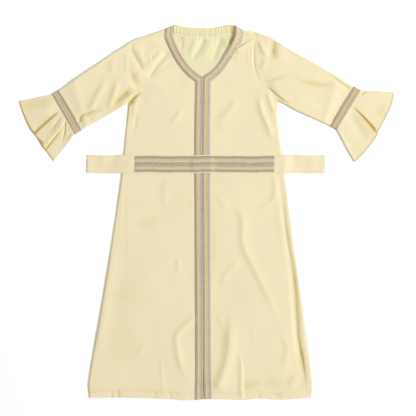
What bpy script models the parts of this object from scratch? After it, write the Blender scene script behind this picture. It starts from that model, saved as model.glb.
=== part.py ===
"""Abaya laid flat on its back, front up, with its sleeves out and its belt across the waist.

The tables are in millimetres and the scene is in metres. The floor is z = 0, +X is the wearer's
left, +Y points to the neck and +Z up. "right" and "left" are the wearer's.
"""

import math
from collections import namedtuple

import bmesh
import bpy
from mathutils import Vector

MM = 0.001

# Cloth and trim, measured through their thickness
WALL = 1.2
AIR = 2.0
HEM_AIR = 0.6
BELT_WALL = 2.0
RIBBON_WALL = 1.0
RIBBON_CROWN = 0.3
SEAM = 0.3
TOP = 2 * WALL + AIR

# Colour, roughness and metallic of the cloth and of the braid
CREPE = ((0.86, 0.77, 0.50), 0.75, 0.0)
BRAID = ((0.60, 0.50, 0.32), 0.45, 0.4)

# Ribbon of braid: a silver edge, a gold middle and a silver edge; it is pressed thinner at a cuff
RIBBON = 29.0
CUFF_RIBBON_WALL = 0.7
SILVER = 6.5
RIBBON_LINES = (0.0, SILVER, RIBBON - SILVER, RIBBON)
RIBBON_HEIGHTS = (0.0, RIBBON_CROWN, RIBBON_CROWN, 0.0)

# Belt
BELT_TOP = 211.5
BELT_FOOT = 145.5
BELT_MIDDLE = (BELT_TOP + BELT_FOOT) / 2
BELT_END = {"right": -427.0, "left": 453.0}
BELT_END_SLANT = {"right": 0.0, "left": 3.0}
BELT_BRAID_ENDS = (-250.0, 265.0)

# How far folds stay away from the belt, the front braids, a seam's edge and the cuff
BELT_CALM = 55.0
BRAID_CALM = 38.0
BRAID_CALM_SHARE = 0.85
EDGE_CALM = 20.0
CUFF_CALM_SHARE = 0.8
CUFF_CALM_FROM = 0.7
CUFF_CALM_REACH = 0.2

# Hem, centre front and shoulders
HEM_Y = -692.0
SLIT_TOP = -560.0
SLIT_WIDTH = 4.0
SHOULDER_FALL = {"right": 0.42, "left": 0.68}
SHOULDER_REACH = 75.0
HEM_REACH = 140.0
HEM_SINK = 60.0
FRONT_COLUMNS = 10
BACK_LIFT_ROWS = 5
BACK_TUCK = 3.2
TUCK_START = 45.0
TUCK_REACH = 15.0
FOLD_REACH = 90.0
SIDES = ("right", "left")
OUTWARD = {"right": -1.0, "left": 1.0}

# Back neck casing and its gathers
CASING_ENDS = (-104.0, 108.0)
CASING_DEPTH = 27.0
GATHERS = 19
GATHER_HEIGHT = 1.7
GATHER_STEPS = 4

# Sleeves and flounces
SLEEVE_STATIONS = 14
CUFF_LIFT = 1.35
CUFF_LIFT_FROM = 0.70
CUFF_LIFT_TO = 0.80
BOW_REACH = 0.45
SEAM_STEP = 2.0
FLOUNCE_STATIONS = 8
FLOUNCE_TOP = TOP + CUFF_LIFT
FLOUNCE_UNDERLAP = 3.0
FLOUNCE_UNDERSIDE = (0.15, 0.38, 0.62, 0.85)
PLEAT_GROWTH = 1.8
PLEAT_ROWS = 4
FOLD_SPAN = 20.0
FOLD_STEPS = 8
ARC_STEPS = 4

Edge = namedtuple("Edge", "y x")
Plan = namedtuple("Plan", "x y")
Station = namedtuple("Station", "name inner_y outer_y rows")
Section = namedtuple("Section", "name upper lower")
Profile = namedtuple("Profile", "inset height")
Gather = namedtuple("Gather", "depth share")
Drop = namedtuple("Drop", "beyond height")
Fold = namedtuple("Fold", "place start end width height")
Pleat = namedtuple("Pleat", "at_cuff at_rim overlap rise")

NECKLINE = {
    "right": (
        Edge(690, -110),
        Edge(657, -111),
        Edge(613, -95),
        Edge(560, -65),
        Edge(523, -32),
        Edge(498, 2),
    ),
    "left": (
        Edge(692, 121),
        Edge(660, 122),
        Edge(619, 104),
        Edge(580, 79),
        Edge(535, 46),
        Edge(498, 2),
    ),
}
CENTRE = (Edge(498, 2), Edge(268, -1), Edge(-435, 2), Edge(HEM_Y, 3))
ARMHOLE = {
    "right": (
        Edge(658, -198),
        Edge(600, -191),
        Edge(545, -192),
        Edge(508, -201),
        Edge(467, -225),
        Edge(407, -272),
    ),
    "left": (
        Edge(666, 201),
        Edge(600, 192),
        Edge(545, 193),
        Edge(508, 202),
        Edge(467, 226),
        Edge(412, 279),
    ),
}
SIDE = {
    "right": (
        Edge(407, -272),
        Edge(312, -282),
        Edge(134, -300),
        Edge(-139, -340),
        Edge(-398, -383),
        Edge(-628, -421),
        Edge(-685, -419),
    ),
    "left": (
        Edge(412, 279),
        Edge(349, 278),
        Edge(223, 293),
        Edge(-139, 341),
        Edge(-398, 378),
        Edge(-628, 407),
        Edge(-684, 405),
    ),
}
HEM = (
    Plan(-419, -685),
    Plan(-295, -685),
    Plan(-189, -687),
    Plan(-124, -692),
    Plan(-39, -694),
    Plan(38, -694),
    Plan(209, -689),
    Plan(294, -693),
    Plan(405, -684),
)
BACK_TOP = (
    Plan(-197, 656),
    Plan(-168, 666),
    Plan(-139, 675),
    Plan(-114, 685.5),
    Plan(-108, 688),
    Plan(-100, 692),
    Plan(-78, 686),
    Plan(-39, 680),
    Plan(0, 679),
    Plan(39, 680),
    Plan(78, 687),
    Plan(104, 692),
    Plan(118, 690),
    Plan(124, 686.5),
    Plan(146, 671.5),
    Plan(172, 669),
    Plan(200, 664),
)
STATIONS = {
    "right": (
        Station("shoulder", 690, 658, 8),
        Station("neck point", 498, 468, 4),
        Station("underarm", 425, 407, 6),
        Station("belt top", BELT_TOP, BELT_TOP, 2),
        Station("belt foot", BELT_FOOT, BELT_FOOT, 18),
        Station("hem", HEM_Y, -685, 0),
    ),
    "left": (
        Station("shoulder", 692, 666, 8),
        Station("neck point", 498, 470, 4),
        Station("underarm", 428, 412, 6),
        Station("belt top", BELT_TOP, BELT_TOP, 2),
        Station("belt foot", BELT_FOOT, BELT_FOOT, 18),
        Station("hem", HEM_Y, -684, 0),
    ),
}

# Height of the upper cloth near a folded edge and near a flat seam, as a share of its full height
FOLDED_EDGE = (
    Profile(8.0, 1.0),
    Profile(3.0, 0.93),
    Profile(1.0, 0.73),
    Profile(0.0, 0.36),
    Profile(0.0, 0.03),
)
SEWN_EDGE = (
    Profile(12.0, 1.0),
    Profile(9.0, 1.0),
    Profile(6.0, 1.0),
    Profile(3.0, 1.0),
    Profile(0.0, 1.0),
)
SLEEVE = {
    "right": (
        Section("armhole", Plan(-198, 658), Plan(-272, 407)),
        Section("cap", Plan(-245, 641), Plan(-300, 389)),
        Section("upper arm", Plan(-309, 602), Plan(-338, 366)),
        Section("elbow", Plan(-376, 557), Plan(-376, 345)),
        Section("forearm", Plan(-450, 508), Plan(-413, 324)),
        Section("braid", Plan(-528, 453), Plan(-448, 305)),
        Section("cuff", Plan(-555, 436), Plan(-471, 290)),
    ),
    "left": (
        Section("armhole", Plan(201, 666), Plan(279, 412)),
        Section("cap", Plan(253, 646), Plan(310, 397)),
        Section("upper arm", Plan(323, 602), Plan(349, 375)),
        Section("elbow", Plan(393, 563), Plan(391, 356)),
        Section("forearm", Plan(468, 521), Plan(432, 338)),
        Section("braid", Plan(554, 467), Plan(473, 320)),
        Section("cuff", Plan(583, 452), Plan(496, 307)),
    ),
}
FLOUNCE = {
    "right": (
        Section("cuff", Plan(-555.6, 435.6), Plan(-471.6, 289.6)),
        Section("middle", Plan(-612, 425), Plan(-512, 238)),
        Section("rim", Plan(-679, 412), Plan(-551, 191)),
    ),
    "left": (
        Section("cuff", Plan(583.6, 451.6), Plan(496.6, 306.6)),
        Section("middle", Plan(645, 448), Plan(527, 248)),
        Section("rim", Plan(708, 443), Plan(558, 190)),
    ),
}
RIM = {
    "right": (
        Plan(-679, 412),
        Plan(-665, 370),
        Plan(-640, 316),
        Plan(-616, 281),
        Plan(-585, 236),
        Plan(-551, 191),
    ),
    "left": (
        Plan(708, 443),
        Plan(697, 395),
        Plan(672, 343),
        Plan(646, 297),
        Plan(604, 238),
        Plan(558, 190),
    ),
}
PLEATS = {
    "right": (Pleat(0.47, 0.55, 9.0, 5.0), Pleat(0.68, 0.80, 3.0, 3.5)),
    "left": (Pleat(0.38, 0.53, 10.0, 6.0),),
}

# How gathered the casing is down its depth, and how the belt sinks from a front to the floor
CASING_ROWS = (
    Gather(0.6, 0.5),
    Gather(8.0, 1.0),
    Gather(20.0, 1.0),
    Gather(CASING_DEPTH, 0.45),
)
BELT_DROPS = (
    Drop(4.0, TOP - SEAM),
    Drop(14.0, 1.4),
    Drop(26.0, 0.0),
    Drop(60.0, 0.0),
)
FOLDS = (
    Fold("hip to side, upper", Plan(150, 0), Plan(165, -150), 26, 3.5),
    Fold("hip to side, lower", Plan(165, -150), Plan(300, -440), 28, 4.0),
    Fold("beside centre, left", Plan(118, -370), Plan(62, -640), 24, 3.5),
    Fold("hem, left", Plan(158, -540), Plan(166, -690), 22, 3.0),
    Fold("hem, outer left", Plan(290, -560), Plan(300, -690), 26, 3.0),
    Fold("beside centre, right", Plan(-75, -400), Plan(-80, -620), 26, 3.5),
    Fold("hem, right", Plan(-150, -560), Plan(-146, -690), 22, 3.0),
    Fold("skirt, right", Plan(-230, -60), Plan(-300, -420), 30, 2.5),
    Fold("waist, right", Plan(-130, 120), Plan(-70, -190), 28, 2.0),
    Fold("bodice, left", Plan(250, 380), Plan(275, 240), 20, 2.5),
    Fold("chest, left", Plan(90, 400), Plan(200, 470), 24, 2.0),
    Fold("chest, right", Plan(-120, 600), Plan(-180, 520), 18, 3.0),
    Fold("underarm, right", Plan(-215, 460), Plan(-262, 415), 14, 4.0),
    Fold("shoulder, left", Plan(134, 655), Plan(128, 612), 14, 3.5),
    Fold("cap, left", Plan(232, 625), Plan(240, 520), 18, 3.5),
    Fold("sleeve, left", Plan(290, 545), Plan(430, 490), 22, 2.5),
    Fold("underarm, left", Plan(262, 452), Plan(340, 420), 16, 3.0),
    Fold("cap, right", Plan(-238, 600), Plan(-212, 530), 18, 3.5),
    Fold("sleeve, right", Plan(-370, 480), Plan(-405, 380), 20, 2.5),
    Fold("under sleeve, right", Plan(-350, 420), Plan(-270, 470), 18, 2.5),
)


def smoothstep(value):
    """0 below 0, 1 above 1 and a soft rise between."""
    value = min(max(value, 0.0), 1.0)
    return value * value * (3.0 - 2.0 * value)


def mix(start, end, share):
    """The value, or the point, at a share of the way from start to end."""
    return start + (end - start) * share


def slope(table, index):
    """Slope of the curve through a table of (key, value) rows, at one of its rows."""
    before = table[max(index - 1, 0)]
    after = table[min(index + 1, len(table) - 1)]
    return (after[1] - before[1]) / (after[0] - before[0])


def curve(table, key):
    """Value at a key of the smooth curve through (key, value) rows whose keys rise or fall."""
    rising = table[-1][0] > table[0][0]
    last = len(table) - 2
    index = 0
    while index < last and (key > table[index + 1][0]) == rising and key != table[index + 1][0]:
        index += 1
    low = table[index]
    high = table[index + 1]
    span = high[0] - low[0]
    share = (key - low[0]) / span
    square = share * share
    cube = square * share
    return (
        low[1] * (2 * cube - 3 * square + 1)
        + high[1] * (3 * square - 2 * cube)
        + slope(table, index) * span * (cube - 2 * square + share)
        + slope(table, index + 1) * span * (cube - square)
    )


def path_point(points, share):
    """Point at a share of the length of the smooth path through plan points."""
    lengths = [0.0]
    for before, after in zip(points, points[1:]):
        lengths.append(lengths[-1] + math.dist(before, after))
    travelled = share * lengths[-1]
    across = curve(tuple(zip(lengths, (point.x for point in points))), travelled)
    up = curve(tuple(zip(lengths, (point.y for point in points))), travelled)
    return Vector((across, up))


def drape(x, y):
    """Height that the folds add to the upper cloth, flat under the belt and the front braids."""
    height = 0.0
    for fold in FOLDS:
        start = Vector(fold.start)
        run = Vector(fold.end) - start
        share = (Vector((x, y)) - start).dot(run) / run.length_squared
        nearest = start + run * min(max(share, 0.0), 1.0)
        gap = (Vector((x, y)) - nearest).length
        height += fold.height * math.exp(-((gap / fold.width) ** 2))
    belt = math.exp(-(((y - BELT_MIDDLE) / BELT_CALM) ** 2))
    braid = math.exp(-((x / BRAID_CALM) ** 2)) if y < CENTRE[0].y else 0.0
    return height * (1.0 - belt) * (1.0 - BRAID_CALM_SHARE * braid)


def full_height(y):
    """Height of the upper cloth's outer face where it is plain; it sinks to the back at the hem."""
    near_hem = smoothstep((HEM_Y + HEM_SINK - y) / HEM_SINK)
    return TOP - (AIR - HEM_AIR) * near_hem


def centre_edge(side, y):
    """The centre front edge: the two fronts meet edge to edge and part in the slit at the hem."""
    parting = SLIT_WIDTH * smoothstep((SLIT_TOP - y) / (SLIT_TOP - HEM_Y)) + 2 * SEAM
    return curve(CENTRE, y) + OUTWARD[side] * parting / 2


def inner_edge(side, y):
    """Plan point of a front's inner edge: the neckline, then the centre front."""
    neck_point = NECKLINE[side][-1].y
    if y <= neck_point:
        return Vector((centre_edge(side, y), y))
    return Vector((curve(NECKLINE[side], y) + OUTWARD[side] * SEAM, y))


def outer_edge(side, y):
    """Plan point of a panel's outer edge: the armhole, then the side seam."""
    underarm = SIDE[side][0].y
    table = SIDE[side] if y <= underarm else ARMHOLE[side]
    return Vector((curve(table, y), y))


def across_ribbon(side, y, next_y, previous_y):
    """Vector across the ribbon at one row: square to the edge, mitred at the neck point."""
    here = inner_edge(side, y)
    normals = []
    for other_y in (previous_y, next_y):
        if other_y == y:
            continue
        run = (inner_edge(side, other_y) - here) * (1 if other_y < y else -1)
        normal = Vector((run.y, -run.x)).normalized()
        normals.append(normal if normal.x * OUTWARD[side] > 0 else -normal)
    first = normals[0]
    last = normals[-1]
    across = (first + last) / (1.0 + first.dot(last)) * RIBBON
    reach = NECKLINE[side][0].y - y
    fade = 1.0 - smoothstep(reach / SHOULDER_REACH)
    across.y -= SHOULDER_FALL[side] * RIBBON * fade
    return across


def panel_rows(side):
    """Rows of a front from shoulder to hem: inner y, outer y, height share, how folded its side is."""
    rows = []
    underarm = SIDE[side][0].y
    stations = STATIONS[side]
    for profile in reversed(FOLDED_EDGE):
        rows.append(
            (
                stations[0].inner_y - profile.inset,
                stations[0].outer_y - profile.inset,
                profile.height,
                0.0,
            )
        )
    first_inset = FOLDED_EDGE[0].inset
    for station, following in zip(stations, stations[1:]):
        for step in range(1, station.rows + 1):
            share = step / station.rows
            start = first_inset if station is stations[0] else 0.0
            inner_y = mix(station.inner_y - start, following.inner_y, share)
            outer_y = mix(station.outer_y - start, following.outer_y, share)
            folded = 0.5 + 0.5 * smoothstep((underarm - outer_y) / FOLD_REACH)
            if outer_y > underarm:
                folded = 0.0
            rows.append((inner_y, outer_y, 1.0, folded))
    return rows


def front_grid(side):
    """Outer face of a front: rows from shoulder to hem, columns from the inner edge outwards."""
    rows = panel_rows(side)
    grid = []
    for index, (inner_y, outer_y, share, folded) in enumerate(rows):
        previous_y = rows[max(index - 1, 0)][0]
        next_y = rows[min(index + 1, len(rows) - 1)][0]
        if previous_y == inner_y:
            previous_y = rows[max(index - 2, 0)][0]
        if next_y == inner_y and index + 2 < len(rows):
            next_y = rows[index + 2][0]
        inner = inner_edge(side, inner_y)
        across = across_ribbon(side, inner_y, next_y, previous_y)
        outer = outer_edge(side, outer_y)
        edge = [
            Profile(mix(sewn.inset, fold.inset, folded), mix(sewn.height, fold.height, folded))
            for sewn, fold in zip(SEWN_EDGE, FOLDED_EDGE)
        ]
        row = [(inner + across * line / RIBBON, 1.0) for line in RIBBON_LINES]
        braid_edge = row[-1][0]
        inward = (braid_edge - outer).normalized()
        rim = outer + inward * edge[0].inset
        for column in range(1, FRONT_COLUMNS):
            row.append((mix(braid_edge, rim, column / FRONT_COLUMNS), 1.0))
        for profile in edge:
            row.append((outer + inward * profile.inset, profile.height))
        grid.append([shape_front(place, share * height) for place, height in row])
    return grid


def shape_front(place, share):
    """Point of a front at a plan place, its height being a share of the full height there."""
    x = place.x
    hem_pull = smoothstep((HEM_Y + HEM_REACH - place.y) / HEM_REACH)
    y = place.y + (curve(HEM, x) - straight_hem(x)) * hem_pull
    return Vector((x, y, share * (full_height(y) + drape(x, y) * smoothstep(share))))


def straight_hem(x):
    """Hem line of the ruled grid, straight from each side seam to the centre front."""
    corner = HEM[0] if x < 0 else HEM[-1]
    return mix(HEM_Y, corner.y, x / corner.x)


def back_grid():
    """Upper face of the back, flat on the floor: rows from neck to hem, columns left to right."""
    right_rows = [row for row in panel_rows("right") if row[2] == 1.0][::2]
    left_rows = [row for row in panel_rows("left") if row[2] == 1.0][::2]
    shares = [(place.x - BACK_TOP[0].x) / (BACK_TOP[-1].x - BACK_TOP[0].x) for place in BACK_TOP]
    grid = [[Vector((place.x, place.y, WALL)) for place in BACK_TOP]]
    for index, (right, left) in enumerate(zip(right_rows[1:], left_rows[1:]), 1):
        lift = max(0.0, 1.0 - index / BACK_LIFT_ROWS) ** 2
        row = []
        for place, share in zip(BACK_TOP, shares):
            start = outer_edge("right", right[1])
            end = outer_edge("left", left[1])
            above_underarm = STATIONS["right"][2].outer_y + TUCK_START
            tuck = BACK_TUCK * smoothstep((above_underarm - start.y) / TUCK_REACH)
            start.x += tuck
            end.x -= tuck
            point = mix(start, end, share)
            chord = mix(BACK_TOP[0].y, BACK_TOP[-1].y, share)
            point.y += (place.y - chord) * lift
            if index == len(right_rows) - 1:
                point.y = curve(HEM, point.x) + SEAM
            row.append(Vector((point.x, point.y, WALL)))
        grid.append(row)
    return grid


def casing_grid():
    """Outer face of the gathered casing, on the inside of the back along its neck edge."""
    steps = GATHERS * GATHER_STEPS
    grid = []
    for depth, gathered in CASING_ROWS:
        row = []
        for step in range(steps + 1):
            x = mix(*CASING_ENDS, step / steps)
            y = curve(BACK_TOP[4:13], x) - depth
            wave = 0.5 - 0.5 * math.cos(math.tau * step / GATHER_STEPS)
            row.append(Vector((x, y, 2 * WALL + SEAM + GATHER_HEIGHT * gathered * wave)))
        grid.append(row)
    return grid


def sleeve_edge(side, share, edge):
    """Plan point on a sleeve's upper or lower folded edge, at a share of the sleeve's length."""
    points = [getattr(section, edge) for section in SLEEVE[side]]
    return path_point(points, share)


def sleeve_place(side, across, along):
    """Plan point of a sleeve: across from its upper edge, along from the armhole to the cuff."""
    point = mix(sleeve_edge(side, along, "upper"), sleeve_edge(side, along, "lower"), across)
    armhole = ARMHOLE[side]
    seam_y = mix(armhole[0].y, armhole[-1].y, across)
    seam = Vector((curve(armhole, seam_y), seam_y))
    run_x = curve(armhole, seam_y - SEAM_STEP) - curve(armhole, seam_y + SEAM_STEP)
    tangent = Vector((run_x, -2 * SEAM_STEP))
    clear = Vector((tangent.y, -tangent.x)).normalized() * 1.5 * SEAM
    if clear.x * OUTWARD[side] < 0:
        clear = -clear
    chord = mix(Vector(SLEEVE[side][0].upper), Vector(SLEEVE[side][0].lower), across)
    fade = max(0.0, 1.0 - along / BOW_REACH) ** 2
    return point + (seam - chord + clear) * fade


def cuff_lift(along):
    """Height by which the sleeve's underside clears the braid that passes below it."""
    return CUFF_LIFT * smoothstep((along - CUFF_LIFT_FROM) / (CUFF_LIFT_TO - CUFF_LIFT_FROM))


def tube_ring(place, width, floor, top, heights, below, grow=0.0):
    """One ring of a flattened tube: over its top, round one edge, back below, round the other.

    heights holds (share across, height over the top) and below the shares of the points beneath.
    """
    radius = (top - floor) / 2
    middle = (top + floor) / 2
    ring = []
    for step in range(ARC_STEPS + 1):
        angle = math.pi * (step / ARC_STEPS - 0.5)
        inset = radius - (radius + grow) * math.cos(angle)
        ring.append((inset / width, middle + (radius + grow) * math.sin(angle)))
    ring += [(share, top + grow + height) for share, height in heights]
    for step in range(ARC_STEPS + 1):
        angle = math.pi * (0.5 - step / ARC_STEPS)
        inset = radius - (radius + grow) * math.cos(angle)
        ring.append((1.0 - inset / width, middle + (radius + grow) * math.sin(angle)))
    ring += [(share, floor - grow) for share in reversed(below)]
    ring.append(ring[0])
    points = []
    for share, height in ring:
        plan = place(share)
        points.append(Vector((plan.x, plan.y, height)))
    return points


def armhole_shares(side):
    """Shares of the way down the armhole at which the rows of the front meet it."""
    top = ARMHOLE[side][0].y
    foot = ARMHOLE[side][-1].y
    rows = [row[1] for row in panel_rows(side) if row[2] == 1.0 and row[1] > foot + 1.0]
    return [(top - y) / (top - foot) for y in rows]


def sleeve_ring(side, upper_along, lower_along, grow=0.0):
    """One ring of a sleeve, or of the braid round it where it grows, from its upper edge's place
    along the sleeve to its lower edge's.
    """
    upper = sleeve_edge(side, upper_along, "upper")
    lower = sleeve_edge(side, lower_along, "lower")
    width = (lower - upper).length
    shares = armhole_shares(side)[1:]

    def place(share):
        return sleeve_place(side, share, mix(upper_along, lower_along, share))

    heights = []
    for share in shares:
        plan = place(share)
        along = mix(upper_along, lower_along, share)
        near_edge = smoothstep(min(share, 1.0 - share) * width / EDGE_CALM)
        near_cuff = 1.0 - CUFF_CALM_SHARE * smoothstep((along - CUFF_CALM_FROM) / CUFF_CALM_REACH)
        heights.append((share, drape(plan.x, plan.y) * near_edge * near_cuff))
    lift = cuff_lift(upper_along)
    return tube_ring(place, width, lift, TOP + lift, heights, shares[1::2], grow)


def sleeve_grid(side):
    """Outer face of a sleeve, a flattened tube from the armhole to the cuff."""
    alongs = [step / SLEEVE_STATIONS for step in range(SLEEVE_STATIONS + 1)]
    return [sleeve_ring(side, along, along) for along in alongs]


def sleeve_length(side, edge):
    """Length of a sleeve's upper or lower folded edge."""
    points = [getattr(section, edge) for section in SLEEVE[side]]
    return sum(math.dist(before, after) for before, after in zip(points, points[1:]))


def cuff_braid_grid(side):
    """Outer face of the ribbon round the sleeve's end, as wide at the lower edge as at the upper."""
    grid = []
    for line, crown in zip(RIBBON_LINES, RIBBON_HEIGHTS):
        from_cuff = RIBBON - line + SEAM
        upper_along = 1.0 - from_cuff / sleeve_length(side, "upper")
        lower_along = 1.0 - from_cuff / sleeve_length(side, "lower")
        grow = SEAM + CUFF_RIBBON_WALL + crown
        grid.append(sleeve_ring(side, upper_along, lower_along, grow))
    return grid


def flounce_place(side, across, along):
    """Plan point of a flounce, ruled between its edges and bowed along its rim."""
    cuff, middle, rim = FLOUNCE[side]
    edges = []
    for edge in ("upper", "lower"):
        points = [getattr(section, edge) for section in (cuff, middle, rim)]
        edges.append(path_point(points, along))
    chord = mix(Vector(rim.upper), Vector(rim.lower), across)
    bow = path_point(RIM[side], across) - chord
    return mix(edges[0], edges[1], across) + bow * smoothstep(along) * along


def flounce_ring(side, along):
    """One ring of a flounce; its pleats lap from the cuff to the rim, the upper one over the next."""
    cuff, _, rim = FLOUNCE[side]
    width = mix(math.dist(cuff.upper, cuff.lower), math.dist(rim.upper, rim.lower), along)
    strength = smoothstep(along * PLEAT_GROWTH)
    heights = []
    start = FLOUNCE_TOP / 2 / width
    for pleat in PLEATS[side]:
        centre = mix(pleat.at_cuff, pleat.at_rim, along)
        half = FOLD_SPAN / 2 / width
        rise = pleat.rise * strength
        for step in range(1, PLEAT_ROWS):
            share = step / PLEAT_ROWS
            heights.append((mix(start, centre - half, share), rise * smoothstep(share)))
        for step in range(FOLD_STEPS + 1):
            turn = 2.0 * step / FOLD_STEPS - 1.0
            lap = pleat.overlap * strength * math.sin(math.pi * turn) / width
            fall = 0.5 - 0.5 * math.sin(math.pi * turn / 2)
            heights.append((centre + half * turn - lap, rise * fall))
        start = centre + half
    for step in range(1, PLEAT_ROWS):
        heights.append((mix(start, 1.0 - FLOUNCE_TOP / 2 / width, step / PLEAT_ROWS), 0.0))
    depth = math.dist(cuff.upper, rim.upper)

    def place(share):
        return flounce_place(side, share, along)

    ring = tube_ring(place, width, 0.0, FLOUNCE_TOP, heights, FLOUNCE_UNDERSIDE)
    outward = (flounce_place(side, 0.5, 1.0) - flounce_place(side, 0.5, 0.0)) / depth
    for point in ring:
        low = 1.0 - smoothstep(point.z / FLOUNCE_TOP)
        point.xy += outward * FLOUNCE_UNDERLAP * low * along
    return ring


def flounce_grid(side):
    """Outer face of a flounce, from the cuff seam to the rim."""
    return [flounce_ring(side, step / FLOUNCE_STATIONS) for step in range(FLOUNCE_STATIONS + 1)]


def moved_out(grid, distances):
    """A grid's points moved out along its normals, by one distance for each column."""
    rows = len(grid)
    columns = len(grid[0])
    moved = []
    for row in range(rows):
        line = []
        for column in range(columns):
            down = grid[min(row + 1, rows - 1)][column] - grid[max(row - 1, 0)][column]
            side = grid[row][min(column + 1, columns - 1)] - grid[row][max(column - 1, 0)]
            normal = down.cross(side).normalized()
            if normal.z < -0.01:
                normal = -normal
            if abs(normal.z) <= 0.01 and normal.y < 0:
                normal = -normal
            line.append(grid[row][column] + normal * distances[column])
        moved.append(line)
    return moved


def front_braid_grid(front):
    """Outer face of the ribbon on a front, made from the front's own points."""
    strip = [row[: len(RIBBON_LINES)] for row in front[1:]]
    return moved_out(strip, [SEAM + RIBBON_WALL + crown for crown in RIBBON_HEIGHTS])


def belt_line(front, row, side):
    """Outer face of the belt over one front along a grid row, from the centre to its own end."""
    points = front[row]
    ribbon_columns = len(RIBBON_LINES)
    last = len(points) - len(FOLDED_EDGE)
    line = []
    for column, point in enumerate(points[: last + 1]):
        over_braid = RIBBON_WALL + RIBBON_CROWN + SEAM if column < ribbon_columns else 0.0
        line.append(point + Vector((0.0, 0.0, BELT_WALL + SEAM + over_braid)))
    y = points[0].y
    edge = points[-1].x
    out = OUTWARD[side]
    for drop in BELT_DROPS:
        line.append(Vector((edge + out * drop.beyond, y, drop.height + BELT_WALL)))
    slant = BELT_END_SLANT[side] * (y - BELT_FOOT) / (BELT_TOP - BELT_FOOT)
    line.append(Vector((BELT_END[side] + out * slant, y, BELT_WALL)))
    return line


def belt_grid(fronts):
    """Outer face of the belt: three rows, from its right end to its left end."""
    grid = []
    rows = [index for index, row in enumerate(fronts["right"]) if in_belt(row[0].y)]
    for row in rows:
        right = belt_line(fronts["right"], row, "right")
        left = belt_line(fronts["left"], row, "left")
        grid.append(right[::-1] + left[1:])
    return grid


def in_belt(y):
    """Whether a grid row lies under the belt."""
    return BELT_FOOT - SEAM <= y <= BELT_TOP + SEAM


def belt_point(belt, column, y):
    """Point on the belt's outer face along one of its columns."""
    line = [row[column] for row in belt]
    for above, below in zip(line, line[1:]):
        if y >= below.y:
            return mix(above, below, (above.y - y) / (above.y - below.y))
    return line[-1]


def belt_braid_grid(belt, top_y):
    """Outer face of a ribbon on the belt, from its top edge down, made from the belt's points."""
    start, end = BELT_BRAID_ENDS
    inside = (start + RIBBON_WALL, end - RIBBON_WALL)
    columns = [index for index, point in enumerate(belt[1]) if inside[0] < point.x < inside[1]]
    grid = []
    for line, crown in zip(RIBBON_LINES, RIBBON_HEIGHTS):
        y = top_y - line
        row = [belt_point(belt, column, y) for column in columns]
        row = [belt_end(belt, start, y)] + row + [belt_end(belt, end, y)]
        grid.append([point + Vector((0, 0, SEAM + RIBBON_WALL + crown)) for point in row])
    return grid


def belt_end(belt, x, y):
    """Point on the belt's outer face at the end of a ribbon."""
    for column in range(len(belt[0]) - 1):
        before = belt_point(belt, column, y)
        after = belt_point(belt, column + 1, y)
        if before.x <= x <= after.x:
            return mix(before, after, (x - before.x) / (after.x - before.x))
    return belt_point(belt, -1, y)


def material(name, colour, roughness, metallic):
    """Principled material of one piece."""
    result = bpy.data.materials.new(name)
    result.use_nodes = True
    shader = result.node_tree.nodes["Principled BSDF"]
    shader.inputs["Base Color"].default_value = (*colour, 1.0)
    shader.inputs["Roughness"].default_value = roughness
    shader.inputs["Metallic"].default_value = metallic
    return result


def wall(name, grid, thickness, finish, closed=False):
    """Cloth wall under a grid of outer points; a closed grid's last column is its first one."""
    rows = len(grid)
    columns = len(grid[0])
    cloth = bmesh.new()
    bmesh.ops.create_grid(cloth, x_segments=columns - 1, y_segments=rows - 1, size=1.0)
    cloth.verts.ensure_lookup_table()
    for index, vertex in enumerate(cloth.verts):
        vertex.co = grid[index // columns][index % columns] * MM
    if closed:
        bmesh.ops.remove_doubles(cloth, verts=cloth.verts, dist=0.0001 * MM)
    cloth.normal_update()
    highest = max(cloth.faces, key=lambda face: face.calc_center_median().z - abs(face.normal.x))
    if highest.normal.z < 0:
        bmesh.ops.reverse_faces(cloth, faces=cloth.faces)
    mesh = bpy.data.meshes.new(name)
    cloth.to_mesh(mesh)
    cloth.free()
    mesh.shade_smooth()
    piece = bpy.data.objects.new(name, mesh)
    bpy.context.scene.collection.objects.link(piece)
    piece.data.materials.append(material(name, *finish))
    solid = piece.modifiers.new("Wall", "SOLIDIFY")
    solid.thickness = thickness * MM
    solid.offset = -1.0
    solid.use_even_offset = True
    solid.use_quality_normals = True
    return piece


def main():
    """Builds every piece in an empty scene."""
    for item in list(bpy.data.objects):
        bpy.data.objects.remove(item)
    wall("back", back_grid(), WALL, CREPE)
    wall("back_neck_casing", casing_grid(), WALL, CREPE)
    fronts = {side: front_grid(side) for side in SIDES}
    for side in SIDES:
        wall(f"front_{side}", fronts[side], WALL, CREPE)
        wall(f"braid_front_{side}", front_braid_grid(fronts[side]), RIBBON_WALL, BRAID)
        wall(f"sleeve_{side}", sleeve_grid(side), WALL, CREPE, closed=True)
        wall(f"braid_cuff_{side}", cuff_braid_grid(side), CUFF_RIBBON_WALL, BRAID, closed=True)
        wall(f"flounce_{side}", flounce_grid(side), WALL, CREPE, closed=True)
    belt = belt_grid(fronts)
    wall("belt", belt, BELT_WALL, CREPE)
    upper_ribbon = belt_braid_grid(belt, BELT_MIDDLE + RIBBON + SEAM / 2)
    lower_ribbon = belt_braid_grid(belt, BELT_MIDDLE - SEAM / 2)
    wall("braid_belt_upper", upper_ribbon, RIBBON_WALL, BRAID)
    wall("braid_belt_lower", lower_ribbon, RIBBON_WALL, BRAID)


main()
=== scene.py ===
"""Looks of an abaya laid flat, front up: crepe panels with their folds, braid, belt and sewing.

The tables are in millimetres and the scene is in metres. The floor is z = 0, +X is the wearer's
left and +Y points to the neck. "right" and "left" are the wearer's, as in the frame's nodes.
"""

import math
from collections import namedtuple

import bmesh
import bpy
import numpy as np
from mathutils import Matrix, Vector


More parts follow.
